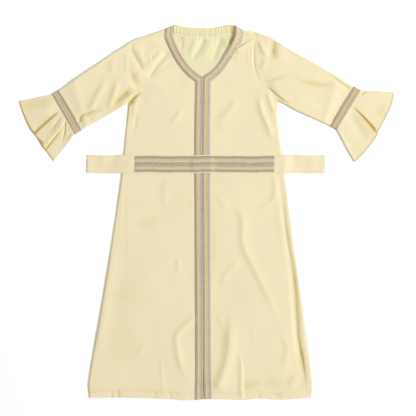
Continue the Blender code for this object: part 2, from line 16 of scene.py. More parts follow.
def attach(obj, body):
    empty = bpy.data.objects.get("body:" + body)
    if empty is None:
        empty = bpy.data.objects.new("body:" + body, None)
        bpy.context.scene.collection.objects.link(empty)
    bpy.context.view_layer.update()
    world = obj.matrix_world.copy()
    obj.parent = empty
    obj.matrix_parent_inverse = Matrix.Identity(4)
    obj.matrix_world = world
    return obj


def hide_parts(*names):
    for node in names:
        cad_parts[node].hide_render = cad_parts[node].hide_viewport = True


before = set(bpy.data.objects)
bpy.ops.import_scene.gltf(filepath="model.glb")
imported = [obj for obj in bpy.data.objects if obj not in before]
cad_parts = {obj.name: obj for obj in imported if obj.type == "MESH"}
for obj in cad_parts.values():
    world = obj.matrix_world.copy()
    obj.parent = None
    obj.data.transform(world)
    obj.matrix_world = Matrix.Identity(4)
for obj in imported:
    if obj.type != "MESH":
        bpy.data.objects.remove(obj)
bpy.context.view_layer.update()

MM = 0.001
SIDES = ("right", "left")
EDGES = ("upper", "lower")
OUTWARD = {"right": -1.0, "left": 1.0}

# Small amounts: the least that is divided by, a step past a corner, and how near points are one
TINY = 0.001
SLIVER = 0.01
WELD = 0.00001

# Rows of the tables
Edge = namedtuple("Edge", "y x")
Plan = namedtuple("Plan", "x y")
Station = namedtuple("Station", "inner_y outer_y")
Section = namedtuple("Section", "upper lower")
# Pleats, creases and surfaces each carry an amount of painted shade: how far the cloth's colour is
# darkened towards olive, khaki and orange in its creases.
Pleat = namedtuple("Pleat", "at_cuff at_rim overlap rise gold mouth closed")
Crease = namedtuple("Crease", "rise near far edge gold path fades", defaults=((0.3, 0.3),))
Wave = namedtuple("Wave", "height across along start", defaults=(0.0,))
Surface = namedtuple("Surface", "points weave gold")
Band = namedtuple("Band", "start tone")
Lines = namedtuple("Lines", "brown light silver dark")
Seam = namedtuple("Seam", "length gap thick sunk")
Lamp = namedtuple("Lamp", "name place size power")
Cut = namedtuple("Cut", "width length area held rests_on with_pieces")


def rows(kind, *values):
    """Rows of one kind, made of their plain values."""
    return tuple(kind(*value) for value in values)


def named(kind, **values):
    """Named rows of one kind, made of their plain values."""
    return {name: kind(*value) for name, value in values.items()}


# In what follows, a beat is two waves multiplied, each with its pace and start, and a fade has
# its start and its reach.

# Cloth and trim, measured through their thickness
WALL = 0.8
AIR = 2.8
HEM_AIR = 1.4
HEM_SINK = 60.0
BACK_TOP_FACE = 0.95
BELT_WALL = 1.6
RIBBON_WALL = 0.9
CUFF_RIBBON_WALL = 0.6
SEAM = 0.3
TOP = 2 * WALL + AIR
LOWEST = BACK_TOP_FACE + SEAM + WALL

# Points of the cloth and of the trim: their spacing, or their number
CLOTH_STEP = 4.0
BRAID_STEP = 2.2
ROLL_STEPS = 7
ARC_STEPS = 8
NECK_STEPS = 240
FRONT_RIBBON_STEPS = 9
SLEEVE_ROWS = 106
SLEEVE_STEPS = 64
CUFF_STEPS = 70
FLOUNCE_ROWS = 46
FLOUNCE_STEPS = 15
FLOUNCE_BELOW = 26
PLEAT_STEPS = 25
BELT_STEPS = 19
BACK_STEPS = 131
BACK_FINE_STEP = 3.2
BACK_FINE = 200.0
BACK_ROWS = 100
GATHER_STEPS = 14

# How a crease is followed along its path, how far from it the cloth still moves, and the least
# that is left of it at its ends
PATH_STEPS = 16
CREASE_REACH = 2.6
FADE_FLOOR = 0.08
# Plan direction the key light comes from; a crease's flank facing away from it gets painted shade
LIGHT_SIDE = np.array((1.0, -0.04))

# Calm cloth: the share of its folds that belt and front braids take away, and how far from them
BELT_CALM = 0.96
BELT_CALM_REACH = 48.0
BRAID_CALM = 0.9
BRAID_CALM_REACH = 34.0
NECK_POINT_Y = 500.0

# Armhole seam and hem stitching: depths, half-widths and the shade painted on what lies deep
SEAM_DEPTH = {"right": 0.0, "left": 1.8}
SEAM_GAP = {"right": 0.02, "left": 0.45}
SEAM_DEEP_Y = 556.0
SEAM_DEEP_REACH = 56.0
SEAM_LEAST = 0.03
SEAM_HALF_WIDTH = 4.2
SEAM_CURVE = 1.4
SEAM_FADE = (-6.0, 12.0)
SEAM_PROBE = 2.0
PUCKER_RISE = 0.3
PUCKER_REACH = 11.0
PUCKER_BEAT = ((1 / 3.1, 0.0), (1 / 17.0, 0.0))
HEM_GROOVE = 0.36
HEM_GROOVE_REACH = 5.0
HEM_RIPPLE = 0.10
HEM_RIPPLE_REACH = 9.0
HEM_RIPPLE_BEAT = ((1 / 2.6, 0.0), (1 / 23.0, 1.0))
SEWN_PAINTED_SHADE = 0.28

# Ribbon of braid, across: a silver cord, a gold middle and a silver cord
RIBBON = 29.0
RIBBON_STEPS = 30
INNER_SILVER = 6.3
OUTER_SILVER = 8.2
CORD_RISE = 0.55
CORD_ROUND = 0.7
RIB_BASE = 0.25
RIB_RISE = 0.28
RIB_PITCH = 3.34
RIBBON_EDGE_DROP = 0.7
RIBBON_EDGE_REACH = 0.8
RIBBON_SHOULDER = 0.35

# Belt: its outline, its soft bends and ripples, and how it sinks beside what it lies over
BELT_TOP = 211.5
BELT_FOOT = 145.5
BELT_MIDDLE = (BELT_TOP + BELT_FOOT) / 2
BELT_END = {"right": -427.0, "left": 453.0}
BELT_BRAID_ENDS = (-250.0, 265.0)
BELT_SINK = 44.0
BELT_SINK_INSET = 1.0
BELT_OVER_BRAID = 18.0
BELT_SWAY = rows(Wave, (0.7, 41.0, math.inf, 0.6), (0.5, 17.0, math.inf))
BELT_RIPPLES = rows(Wave, (0.5, 15.0, 31.0), (0.35, 7.7, -23.0, 1.0))
BELT_RIPPLE_TOP = 0.85
BELT_BRAID_CALM = 0.75
BELT_BRAID_MARGIN = 8.0
BELT_FOLD_DROP = 0.5
BELT_FOLD_REACH = 1.5
BELT_END_GROOVES = ((18.0, 0.5), (4.0, 0.35))
BELT_GROOVE_HALF = 1.8

# Hem, centre front, shoulders and the neck edge that stands up from the back
HEM_Y = -692.0
HEM_FOLD = 24.0
HEM_REACH = 140.0
SLIT_TOP = -560.0
SLIT_WIDTH = 4.0
SHOULDER_FALL = {"right": 0.42, "left": 0.68}
SHOULDER_REACH = 75.0
SHOULDER_ROLL = 7.0
SIDE_ROLL = 6.0
ROLL_FLOOR = 0.2
MITRE_FADE = 150.0
FOLD_REACH = 90.0
FOLD_START = 14.0
NECK_STAND = {"right": (2.2, 600.0), "left": (7.5, 645.0)}
NECK_STAND_REACH = 60.0
NECK_STAND_WIDTH = 1.25 * RIBBON
NECK_STAND_CURVE = 1.3

# Back: how far it stays in from the fronts' edges, its puff where the neckline shows it, and the
# gathers that fan out below its casing
BACK_INSET = 0.6
BACK_TUCK = 3.4
BACK_TUCK_FADE = (-45.0, 15.0)
BACK_PUFF = 2.0
NECK_LIFT_REACH = 230.0
SHOWN_FADE = 30.0
SHOWN_MIDDLE = 4.0
SHOWN_HALF = 122.0
FAN_FOOT = 560.0
FAN_LENGTH = 92.0
FAN_SPREAD = 0.10
FAN_CURVE = 2.2
FAN_RISE = 0.9

# Back neck casing and its gathers; an even tint on it, painted shade in its hollows and at its
# foot, and painted shadow under the left neck edge
CASING_ENDS = (-108.0, 112.0)
CASING_DEPTH = 27.0
CASING_ROWS = ((0.4, 4.0, 5), (5.5, CASING_DEPTH, 16))
CASING_STITCHES = {"top": 3.0, "foot": 24.0}
CASING_AIR = 1.4
CASING_ARCH = 0.9
CASING_GROOVE = 0.4
CASING_GROOVE_HALF = 0.9
CASING_LEAN = rows(Wave, (1.5, 1 / 0.19, 1 / 0.33))
GATHERS = 19
GATHER_RISE = 1.6
GATHER_AT_EDGE = 0.55
GATHER_CURVE = 0.6
GATHER_DRIFT = ((0.015, 23.0), (0.006, 51.0))
GATHER_UNEVEN = 0.34
GATHER_BEAT = ((37.0, 1.0), (11.0, 2.0))
CASING_GOLD = 0.06
HOLLOW_PAINTED_SHADE = 0.08
CASING_FOOT_PAINTED_SHADE = 0.20
CASING_FOOT_REACH = 3.0
NECK_SHADE_Y = 655.0
NECK_SHADE_REACH = 42.0
NECK_SHADE_WIDTH = 15.0

# Sleeves: distances from their edges, and places along and across them as shares
EDGE_INSET = 5.4
# Where the painted crease shade fades out near a tube's edges
EDGE_PAINTED_SHADE_FADE = (-5.0, 9.0)
SLEEVE_EDGE_FADE = (-2.0, 14.0)
SLEEVE_UNDER = (0.06, 0.94)
SLEEVE_PUFF = 4.0
PUFF_GROWTH = (0.0, 0.15)
PUFF_FADE = (0.76, 0.14)
SLEEVE_CALM = 0.6
SLEEVE_CALM_FADE = (0.84, 0.10)
BOW_REACH = 0.45
CUFF_LIFT = 1.35
CUFF_LIFT_FADE = (0.70, 0.10)
CUFF_RIBBON_PAST = 1.5
CUFF_RIBBON_SHARE = 0.75
CUFF_TUCK = 0.8
CUFF_TUCK_AT = {"upper": 0.92, "lower": 0.86}
CUFF_TUCK_REACH = 0.03
CUFF_BEAT = {"right": ((41.0, 0.0), (13.0, 0.0)), "left": ((41.0, 0.0), (13.0, 1.0))}

# Flounces: their height, how much further their lower face juts out at the rim than the upper
# one, and how far the cloth below the first pleat does
FLOUNCE_TOP = TOP + CUFF_LIFT
FLOUNCE_RIM_TOP = {"right": 2.0, "left": 6.0}
FLOUNCE_SINK = 0.7
FLOUNCE_START = 0.12
FLOUNCE_INSET = 3.3
FLOUNCE_EDGE_FADE = (-1.0, 12.0)
FLOUNCE_UNDER = (0.05, 0.95)
FLOUNCE_UNDERLAP = 3.2
LAP_JUT = {"right": 0.0, "left": 5.0}
LAP_JUT_WIDTH = 0.02
RIM_HEM = 0.4
RIM_HEM_REACH = 0.05
# Painted shade along each flounce's rolled rim, and the share of its length that it reaches in
RIM_PAINTED_SHADE = {"right": 0.42, "left": 0.52}
RIM_PAINTED_SHADE_REACH = 0.026
FLUTE_RISE = 0.9
FLUTE_CURVE = 1.5
FLUTE_BEAT = {"right": ((17.0, 2.0), (7.0, 2.7)), "left": ((17.0, 0.6), (7.0, 1.3))}

# Pleats: places and mouths as shares of the flounce, overlap and rise at its rim, the shade painted
# in its mouth, and how far a pleat is closed at the rim
PLEAT_GROWTH = 1.8
PLEAT_CURVE = 1.3
FOLD_SPAN = 20.0
MOUTH_OFFSET = 0.010
MOUTH_OPENING = 4.0
MOUTH_NARROW = 0.35
MOUTH_FADE = (0.90, 0.07)
PLEATS = {
    "right": rows(
        Pleat, (0.38, 0.51, 9.0, 3.4, 0.88, 0.022, 0.0), (0.68, 0.80, 2.5, 3.0, 0.50, 0.015, 0.0)
    ),
    "left": rows(Pleat, (0.375, 0.536, 4.5, 1.8, 1.0, 0.028, 1.0)),
}

# Outlines of the garment
NECKLINE = {
    "right": rows(Edge, (690, -110), (657, -111), (613, -95), (560, -65), (523, -32), (498, 2)),
    "left": rows(Edge, (692, 121), (660, 122), (619, 104), (580, 79), (535, 46), (498, 2)),
}
CENTRE = rows(Edge, (498, 2), (268, -1), (-435, 2), (HEM_Y, 3))
ARMHOLE = {
    "right": rows(
        Edge, (658, -198), (600, -191), (545, -192), (508, -201), (467, -225), (407, -272)
    ),
    "left": rows(Edge, (666, 201), (600, 192), (545, 193), (508, 202), (467, 226), (412, 279)),
}
SIDE = {
    "right": rows(
        Edge, (407, -272), (312, -282), (134, -300), (-139, -340), (-398, -383), (-628, -421),
        (-685, -419),
    ),
    "left": rows(
        Edge, (412, 279), (349, 278), (223, 293), (-139, 341), (-398, 378), (-628, 407),
        (-684, 405),
    ),
}
HEM = rows(
    Plan, (-419, -685), (-295, -685), (-189, -687), (-143, -689), (-84, -693), (-54, -694),
    (-24, -692.6), (5, -690.8), (35, -690), (94, -691.5), (124, -693.8), (152, -693.6),
    (183, -690.2), (212, -688.2), (294, -693), (405, -684),
)
BACK_NECK = rows(
    Plan, (-197, 656), (-168, 666), (-139, 675), (-114, 685.5), (-108, 688), (-100, 692),
    (-78, 686), (-39, 680), (0, 679), (39, 680), (78, 687), (104, 692), (118, 690), (124, 686.5),
    (146, 671.5), (172, 669), (200, 664),
)
STATIONS = {
    "right": named(
        Station,
        shoulder=(690, 658),
        neck_point=(498, 468),
        underarm=(425, 407),
        belt_top=(BELT_TOP, BELT_TOP),
        belt_foot=(BELT_FOOT, BELT_FOOT),
        hem=(HEM_Y, -685),
    ),
    "left": named(
        Station,
        shoulder=(692, 666),
        neck_point=(498, 470),
        underarm=(428, 412),
        belt_top=(BELT_TOP, BELT_TOP),
        belt_foot=(BELT_FOOT, BELT_FOOT),
        hem=(HEM_Y, -684),
    ),
}
SLEEVE = {
    "right": named(
        Section,
        armhole=((-198, 658), (-272, 407)),
        cap=((-245, 641), (-300, 389)),
        upper_arm=((-309, 602), (-338, 366)),
        elbow=((-376, 557), (-376, 345)),
        forearm=((-450, 508), (-413, 324)),
        braid=((-528, 453), (-448, 305)),
        cuff=((-555, 436), (-471, 290)),
    ),
    "left": named(
        Section,
        armhole=((201, 666), (279, 412)),
        cap=((253, 646), (310, 397)),
        upper_arm=((323, 602), (349, 375)),
        elbow=((393, 563), (391, 356)),
        forearm=((468, 521), (432, 338)),
        braid=((554, 467), (473, 320)),
        cuff=((583, 452), (496, 307)),
    ),
}
FLOUNCE = {
    "right": named(
        Section,
        cuff=((-555.6, 435.6), (-471.6, 289.6)),
        middle=((-612, 425), (-512, 238)),
        rim=((-679, 412), (-551, 191)),
    ),
    "left": named(
        Section,
        cuff=((583.6, 451.6), (496.6, 306.6)),
        middle=((645, 448), (527, 248)),
        rim=((708, 443), (558, 190)),
    ),
}
RIM = {
    "right": ((-679, 412), (-665, 370), (-640, 316), (-616, 281), (-585, 236), (-551, 191)),
    "left": ((708, 443), (697, 395), (672, 343), (646, 297), (604, 238), (558, 190)),
}

# Long soft waves that cloth has everywhere
WAVES = rows(
    Wave, (0.62, 61.0, 148.0, 0.4), (0.52, -83.0, 97.0, 2.1), (0.30, 34.0, -71.0, 4.0),
    (0.26, 127.0, 31.0, 1.2), (0.16, 19.0, 47.0, 5.3), (0.12, -23.0, 21.0, 3.3),
)

# Creases: the rise of a fold, or its depth where that is below 0; its half-widths towards the
# light and away from it; 1 for a crisp line up to 3 for a flat one; how much gold-toned shade is
# painted on its flank that faces away from the light; its path; and the shares of it that fade in
# and out. One with no rise is only painted shade.
CREASES = named(
    Crease,
    long_fold=(
        2.5, 18, 13, 1.8, 0.07,
        ((122, 44), (147, -26), (149, -116), (204, -232), (258, -350), (292, -446)),
        (0.2, 0.5),
    ),
    long_fold_foot=(1.4, 16, 12, 1.9, 0.05, ((292, -440), (313, -495), (308, -540), (298, -590))),
    lap_fold=(1.5, 18, 10, 1.8, 0.04, ((138, -178), (102, -210), (80, -240), (76, -284))),
    lap_dent=(1.1, 20, 12, 2.0, 0.03, ((57, 66), (92, 8))),
    belt_shade=(0, 15, 18, 2.0, 0.17, ((40, 112), (84, 130))),
    hip_fold=(1.5, 14, 9, 1.8, 0.04, ((264, 136), (268, 74), (256, 40), (222, 16), (212, -10))),
    side_seam=(
        -2.2, 6, 10, 1.7, 0.38,
        ((282, 148), (298, 16), (306, -63), (331, -221), (344, -380), (349, -462),
         (371, -574), (382, -660)),
        (0.35, 0.1),
    ),
    beside_side_seam=(
        0.8, 10, 12, 2.0, 0.0, ((264, 150), (280, 20), (294, -80), (310, -200)), (0.05, 0.6),
    ),
    side_strip=(
        0.7, 7, 7, 2.0, 0.0,
        ((296, 140), (321, -72), (347, -232), (366, -390), (380, -520), (396, -640)),
    ),
    side_strip_shade=(
        0, 6, 6, 2.0, 0.08, ((300, 140), (324, -72), (351, -232), (370, -390)), (0.05, 0.5),
    ),
    side_seam_wide=(
        -1.3, 11, 13, 2.0, 0.30,
        ((326, -150), (341, -300), (347, -390), (352, -470), (364, -540), (377, -606)),
        (0.3, 0.2),
    ),
    centre_valley=(
        4.4, 24, 18, 1.9, 0.19,
        ((108, -362), (104, -430), (96, -522), (86, -568), (70, -612), (52, -662)),
        (0.4, 0.08),
    ),
    hem_ridge=(
        2.1, 5, 9, 1.8, 0.07, ((140, -520), (144, -580), (144, -640), (146, -690)), (0.3, 0),
    ),
    beside_hem_ridge=(0, 9, 7, 2.0, 0.20, ((158, -636), (165, -660))),
    above_the_hem=(-1.0, 20, 20, 2.4, 0.0, ((158, -634), (230, -628), (300, -636))),
    above_the_hem_shade=(0, 16, 13, 2.2, 0.26, ((158, -642), (186, -632), (220, -630)), (0.1, 0.5)),
    above_the_hem_shade_2=(
        0, 24, 15, 2.2, 0.17, ((214, -626), (262, -630), (296, -640)), (0.4, 0.4),
    ),
    hem_roll=(1.4, 16, 14, 2.0, 0.16, ((318, -650), (352, -602))),
    beside_the_braid=(0, 5, 5, 2.0, 0.30, ((38, -64), (39, -130), (41, -200))),
    shin_left_1=(0.9, 10, 8, 2.0, 0.02, ((58, -384), (78, -426))),
    shin_left_2=(0.8, 9, 8, 2.0, 0.02, ((182, -430), (192, -482))),
    hem_tuck_left_1=(-1.0, 6, 6, 1.6, 0.26, ((206, -666), (212, -690)), (0.3, 0)),
    hem_tuck_left_2=(-1.0, 9, 9, 1.8, 0.26, ((262, -674), (290, -686))),
    hem_corner_shade_left=(
        0, 13, 13, 2.2, 0.20, ((360, -500), (368, -560), (376, -650)), (0.2, 0.1),
    ),
    waist_fold=(1.5, 22, 14, 1.8, 0.04, ((-104, 126), (-137, 98), (-141, 66), (-134, 18))),
    dent_shade=(0, 17, 17, 2.2, 0.12, ((-238, -50), (-200, -36), (-166, -22)), (0.2, 0.2)),
    by_the_braid_right=(0, 4, 7, 2.0, 0.20, ((-45, 58), (-44, 4))),
    low_dent=(1.3, 9, 9, 1.8, 0.05, ((-92, -168), (-90, -196), (-88, -224))),
    side_fold_right=(
        2.8, 26, 9, 2.0, 0.0, ((-322, -100), (-350, -260), (-372, -400), (-402, -580)),
    ),
    hip_strip_right=(0.6, 6, 6, 2.0, 0.0, ((-294, 140), (-299, 20), (-312, -90)), (0.1, 0.3)),
    hip_seam_right=(0, 3, 3, 2.0, 0.14, ((-290, 130), (-284, 10), (-280, -100), (-279, -200))),
    lap_hollow_right=(-0.8, 50, 50, 2.0, 0.02, ((-318, -250), (-308, -340))),
    centre_fold_right=(
        2.6, 14, 12, 1.8, 0.08,
        ((-20, -388), (-58, -414), (-85, -441), (-98, -462), (-95, -492), (-86, -543),
         (-70, -590), (-60, -618)),
        (0.05, 0.3),
    ),
    hem_fold_right=(0.9, 6, 6, 1.9, 0.02, ((-153, -528), (-152, -585), (-147, -640), (-146, -684))),
    hem_tuck_right_1=(-1.3, 5, 5, 1.6, 0.30, ((-339, -660), (-336, -686)), (0.3, 0)),
    hem_tuck_right_2=(-1.6, 6, 6, 1.6, 0.45, ((-315, -658), (-311, -686)), (0.3, 0)),
    hem_tuck_right_3=(-0.9, 7, 7, 1.8, 0.14, ((-180, -660), (-176, -687)), (0.3, 0)),
    hem_tuck_right_4=(-1.0, 6, 6, 1.8, 0.18, ((-123, -662), (-120, -690)), (0.3, 0)),
    hem_crest=(1.5, 18, 14, 2.0, 0.0, ((-96, -664), (-50, -690))),
    thigh_shade_right=(0, 55, 50, 2.2, 0.075, ((-294, -410), (-306, -570))),
    thigh_shade_upper=(0, 70, 60, 2.2, 0.045, ((-280, -270), (-290, -340)), (0.6, 0.2)),
    shin_right=(1.0, 16, 10, 2.0, 0.02, ((-208, -486), (-242, -526))),
    chest_roll=(
        2.4, 22, 13, 1.8, 0.06,
        ((122, 430), (114, 400), (97, 372), (73, 352), (50, 344)),
        (0.3, 0.3),
    ),
    chest_roll_end=(0, 6, 6, 2.0, 0.13, ((88, 370), (64, 354), (42, 345)), (0.4, 0.1)),
    chest_roll_low=(0.7, 14, 10, 2.0, 0.03, ((54, 336), (92, 296))),
    bodice_fold=(
        2.8, 10, 12, 1.7, 0.17,
        ((212, 442), (213, 406), (220, 370), (231, 346), (249, 300), (262, 262)),
    ),
    bodice_fold_2=(2.2, 10, 9, 1.7, 0.16, ((241, 454), (249, 412), (261, 382), (272, 356))),
    chest_crease=(
        1.9, 9, 6, 1.3, 0.36,
        ((126, 602), (142, 612), (160, 624), (178, 635), (203, 644)),
        (0.02, 0.8),
    ),
    chest_crease_foot=(
        -1.6, 4, 5, 1.5, 0.22, ((128, 609), (157, 628), (175, 640), (200, 648)), (0.02, 0.7),
    ),
    braid_mark_1=(0, 5, 5, 1.6, 0.34, ((112, 566), (134, 578)), (0.05, 0.5)),
    braid_mark_2=(0, 5, 5, 1.6, 0.40, ((120, 586), (136, 599)), (0.05, 0.5)),
    shoulder_fold_left=(1.2, 6, 6, 1.8, 0.20, ((148, 668), (166, 662), (184, 652)), (0.1, 0.3)),
    shoulder_shade_left=(0, 5, 5, 1.8, 0.22, ((182, 655), (206, 659), (228, 650))),
    ease_left_1=(0.9, 4, 4, 2.0, 0.06, ((180, 614), (180, 570), (184, 530))),
    ease_left_2=(0.7, 4, 5, 2.0, 0.04, ((172, 606), (168, 574), (176, 536))),
    cap_fold_left=(2.6, 12, 8, 1.5, 0.35, ((206, 641), (216, 616), (226, 592), (234, 576))),
    cap_fold_left_foot=(2.0, 12, 8, 1.7, 0.18, ((234, 574), (225, 546), (216, 520))),
    cap_hollow_left=(-2.3, 18, 12, 2.0, 0.20, ((262, 642), (255, 606), (251, 560))),
    cap_hollow_shade=(0, 11, 11, 2.4, 0.34, ((264, 636), (264, 600), (261, 556)), (0.1, 0.5)),
    cap_hollow_tail=(-1.2, 11, 13, 1.8, 0.36, ((260, 640), (278, 628), (298, 612)), (0.1, 0.3)),
    cap_crest_left=(1.8, 24, 14, 2.0, 0.0, ((294, 616), (287, 590), (284, 552))),
    sleeve_pull=(
        -2.0, 6, 6, 1.6, 0.40,
        ((221, 486), (249, 490), (270, 498), (300, 502), (318, 500)),
        (0.15, 0.5),
    ),
    underarm_left_1=(-2.0, 5, 5, 1.5, 0.55, ((238, 460), (252, 450), (266, 440))),
    underarm_left_2=(
        -1.8, 5, 6, 2.0, 0.22, ((254, 449), (278, 428), (302, 410), (330, 391)), (0.15, 0.5),
    ),
    underarm_left_shade=(
        0, 5, 6, 2.0, 0.36, ((258, 447), (280, 427), (304, 409), (326, 393)), (0.2, 0.4),
    ),
    underarm_left_3=(-1.4, 5, 5, 1.5, 0.35, ((230, 463), (244, 467), (258, 466))),
    forearm_line=(-2.0, 8, 8, 1.7, 0.34, ((344, 481), (384, 476), (430, 471), (482, 471))),
    forearm_shade=(
        0, 6, 6, 2.0, 0.22, ((356, 479), (400, 474), (440, 471), (488, 471)), (0.5, 0.2),
    ),
    forearm_line_upper=(-1.8, 7, 6, 1.6, 0.30, ((474, 500), (508, 477), (544, 453)), (0.3, 0.05)),
    forearm_crest=(1.4, 16, 14, 2.0, 0.0, ((330, 508), (390, 498), (450, 492))),
    forearm_crest_low=(1.3, 14, 12, 2.0, 0.0, ((330, 420), (380, 400), (430, 388))),
    armhole_roll_right=(
        1.7, 54, 24, 2.0, 0.02,
        ((-182, 655), (-176, 600), (-196, 555), (-228, 522), (-234, 465)),
        (0.05, 0.2),
    ),
    chest_trough=(
        -2.4, 8, 9, 1.8, 0.19, ((-126, 594), (-154, 560), (-174, 536), (-198, 500)), (0.06, 0.1),
    ),
    chest_trough_2=(-1.4, 7, 7, 1.8, 0.08, ((-160, 598), (-182, 578), (-192, 560))),
    chest_trough_3=(-1.0, 9, 9, 2.0, 0.03, ((-112, 562), (-140, 538), (-168, 520), (-190, 500))),
    chest_crest=(1.8, 10, 10, 2.0, 0.0, ((-148, 600), (-176, 572), (-206, 536))),
    ease_right_1=(1.0, 4, 4, 2.0, 0.05, ((-197, 614), (-194, 570), (-197, 540))),
    ease_right_2=(0.8, 4, 4, 2.0, 0.05, ((-210, 612), (-206, 575), (-209, 545))),
    shoulder_shade_1=(0, 7, 7, 1.8, 0.14, ((-164, 655), (-146, 661))),
    shoulder_edge_right=(
        2.2, 14, 14, 2.0, 0.0, ((-132, 664), (-170, 652), (-206, 640), (-250, 622)), (0.1, 0.3),
    ),
    yoke_shade_right=(0, 13, 13, 2.4, 0.07, ((-170, 638), (-172, 604))),
    shoulder_shade_2=(0, 8, 8, 1.8, 0.12, ((-232, 641), (-204, 641))),
    ribs=(-1.5, 22, 22, 2.0, 0.02, ((-170, 470), (-110, 484), (-44, 482))),
    ribs_crest=(1.8, 24, 20, 2.0, 0.0, ((-214, 398), (-180, 440), (-118, 454))),
    body_diagonal=(1.6, 12, 9, 1.9, 0.05, ((-76, 384), (-100, 346), (-118, 318))),
    pocket=(-2.3, 5, 8, 3.0, 0.0, ((-226, 449), (-248, 428), (-268, 404)), (0.25, 0)),
    pocket_shade=(0, 4, 8, 3.0, 0.68, ((-224, 449), (-248, 426), (-268, 405)), (0.6, 0)),
    pocket_mouth=(0, 8, 5, 3.0, 0.58, ((-254, 416), (-269, 398)), (0.3, 0)),
    lap_edge=(3.0, 6, 6, 1.6, 0.0, ((-222, 459), (-244, 444), (-274, 426)), (0.2, 0)),
    body_ridge=(1.8, 10, 8, 1.9, 0.05, ((-233, 434), (-250, 394), (-258, 350))),
    body_hollow=(-1.2, 6, 7, 1.9, 0.08, ((-242, 366), (-254, 300))),
    body_edge=(0, 5, 6, 2.0, 0.65, ((-272, 402), (-279, 350), (-284, 300)), (0, 0.5)),
    cap_crease_right=(
        -2.3, 8, 9, 1.6, 0.42,
        ((-256, 632), (-262, 600), (-250, 573), (-236, 550), (-222, 524)),
        (0.4, 0.12),
    ),
    cap_crest_right=(1.8, 12, 9, 1.9, 0.0, ((-238, 606), (-226, 572), (-210, 546))),
    cap_crease_low=(-2.3, 17, 14, 1.8, 0.36, ((-268, 526), (-264, 500), (-254, 479), (-236, 458))),
    elbow_fold_1=(
        -2.8, 14, 9, 1.8, 0.22,
        ((-264, 464), (-290, 438), (-308, 420), (-328, 402), (-356, 386)),
        (0.1, 0.3),
    ),
    elbow_shade=(0, 13, 11, 2.2, 0.41, ((-268, 458), (-296, 431), (-340, 396)), (0.2, 0.4)),
    elbow_knot=(0, 9, 9, 2.0, 0.18, ((-342, 392), (-356, 384))),
    elbow_fold_2=(
        2.7, 12, 13, 1.8, 0.18, ((-308, 500), (-323, 450), (-334, 416), (-342, 386)), (0.4, 0.1),
    ),
    elbow_fold_3=(
        2.6, 14, 14, 1.8, 0.14,
        ((-350, 506), (-370, 462), (-390, 428), (-406, 394), (-416, 372)),
        (0.4, 0.1),
    ),
    cuff_tuck=(
        -2.3, 9, 9, 1.7, 0.46,
        ((-457, 334), (-455, 350), (-445, 364), (-420, 373), (-398, 382), (-356, 386)),
        (0, 0.45),
    ),
    cuff_puff=(1.8, 14, 14, 2.0, 0.0, ((-440, 348), (-400, 358), (-350, 366))),
    puff_mark_1=(-1.2, 5, 5, 1.7, 0.20, ((-418, 344), (-408, 350))),
    puff_mark_2=(-1.2, 5, 5, 1.7, 0.20, ((-378, 356), (-370, 368))),
    mid_sleeve_1=(1.5, 12, 12, 2.0, 0.08, ((-331, 566), (-336, 512))),
    mid_sleeve_2=(1.0, 6, 6, 2.0, 0.04, ((-280, 582), (-282, 520))),
    flounce_crest=(2.4, 24, 24, 1.6, 0.0, ((-652, 366), (-600, 376), (-548, 392))),
    flounce_shade_right=(
        0, 17, 17, 3.0, 0.17, ((-670, 396), (-612, 401), (-556, 410)), (0.02, 0.06),
    ),
    rim_lap_right=(0, 5, 4, 3.0, 0.72, ((-616, 274), (-600, 262), (-584, 250)), (0.1, 0.3)),
    flounce_hollow_right=(
        -1.8, 6, 6, 1.8, 0.34, ((-526, 353), (-546, 325), (-572, 290)), (0.1, 0.4),
    ),
    flounce_lap=(
        2.0, 5, 8, 1.3, 0.0, ((-513, 336), (-534, 302), (-561, 275), (-576, 254)), (0.2, 0),
    ),
    flounce_lap_shade=(0, 5, 4, 1.6, 0.38, ((-524, 300), (-549, 271), (-577, 238)), (0.3, 0)),
    flounce_crease=(
        -1.8, 4, 4, 1.5, 0.60, ((-508, 338), (-511, 300), (-518, 270), (-526, 248)), (0.05, 0.5),
    ),
    flounce_nick=(-1.4, 4, 5, 1.5, 0.50, ((-484, 297), (-496, 283), (-507, 272))),
    flounce_puff=(-1.2, 6, 6, 1.8, 0.20, ((-500, 318), (-494, 304))),
    flounce_fold_left=(
        -1.8, 4, 4, 1.5, 0.60,
        ((584, 435), (598, 444), (614, 449), (660, 448), (700, 443)),
        (0.05, 0.5),
    ),
    flounce_hollow_left=(-1.8, 18, 16, 1.9, 0.09, ((538, 376), (558, 338), (578, 306), (602, 272))),
    hollow_shade_left=(0, 18, 16, 2.0, 0.09, ((550, 368), (584, 324), (624, 282)), (0.3, 0)),
    flounce_soft_left=(0, 20, 18, 2.0, 0.22, ((670, 404), (656, 350))),
)
BACK_CREASES = named(
    Crease,
    left_1=(-1.8, 5, 5, 1.5, 0.38, ((-77, 652), (-77, 624), (-83, 590)), (0.1, 0.4)),
    left_2=(-1.4, 4, 4, 1.6, 0.34, ((-93, 652), (-94, 622)), (0.1, 0.4)),
    left_3=(-1.2, 4, 4, 1.6, 0.22, ((-85, 652), (-86, 616)), (0.1, 0.5)),
    middle_left=(2.0, 14, 10, 2.0, 0.10, ((-24, 652), (-34, 610), (-52, 576))),
    middle=(-2.4, 10, 8, 1.8, 0.20, ((6, 646), (-10, 612), (-26, 588), (-44, 556)), (0.1, 0.3)),
    middle_crest=(2.2, 12, 14, 2.0, 0.0, ((30, 648), (22, 610), (2, 566))),
    middle_right=(-2.4, 10, 8, 1.8, 0.24, ((68, 650), (56, 615), (44, 580), (32, 545)), (0.1, 0.4)),
    right=(2.0, 12, 8, 1.8, 0.0, ((90, 646), (84, 606))),
)


def soft_step(value):
    """0 below 0, 1 above 1 and a soft rise between."""
    value = np.clip(value, 0.0, 1.0)
    return value * value * (3.0 - 2.0 * value)


def past(value, start, reach):
    """0 up to a start, 1 from a reach beyond it and a soft rise between."""
    return soft_step((value - start) / reach)


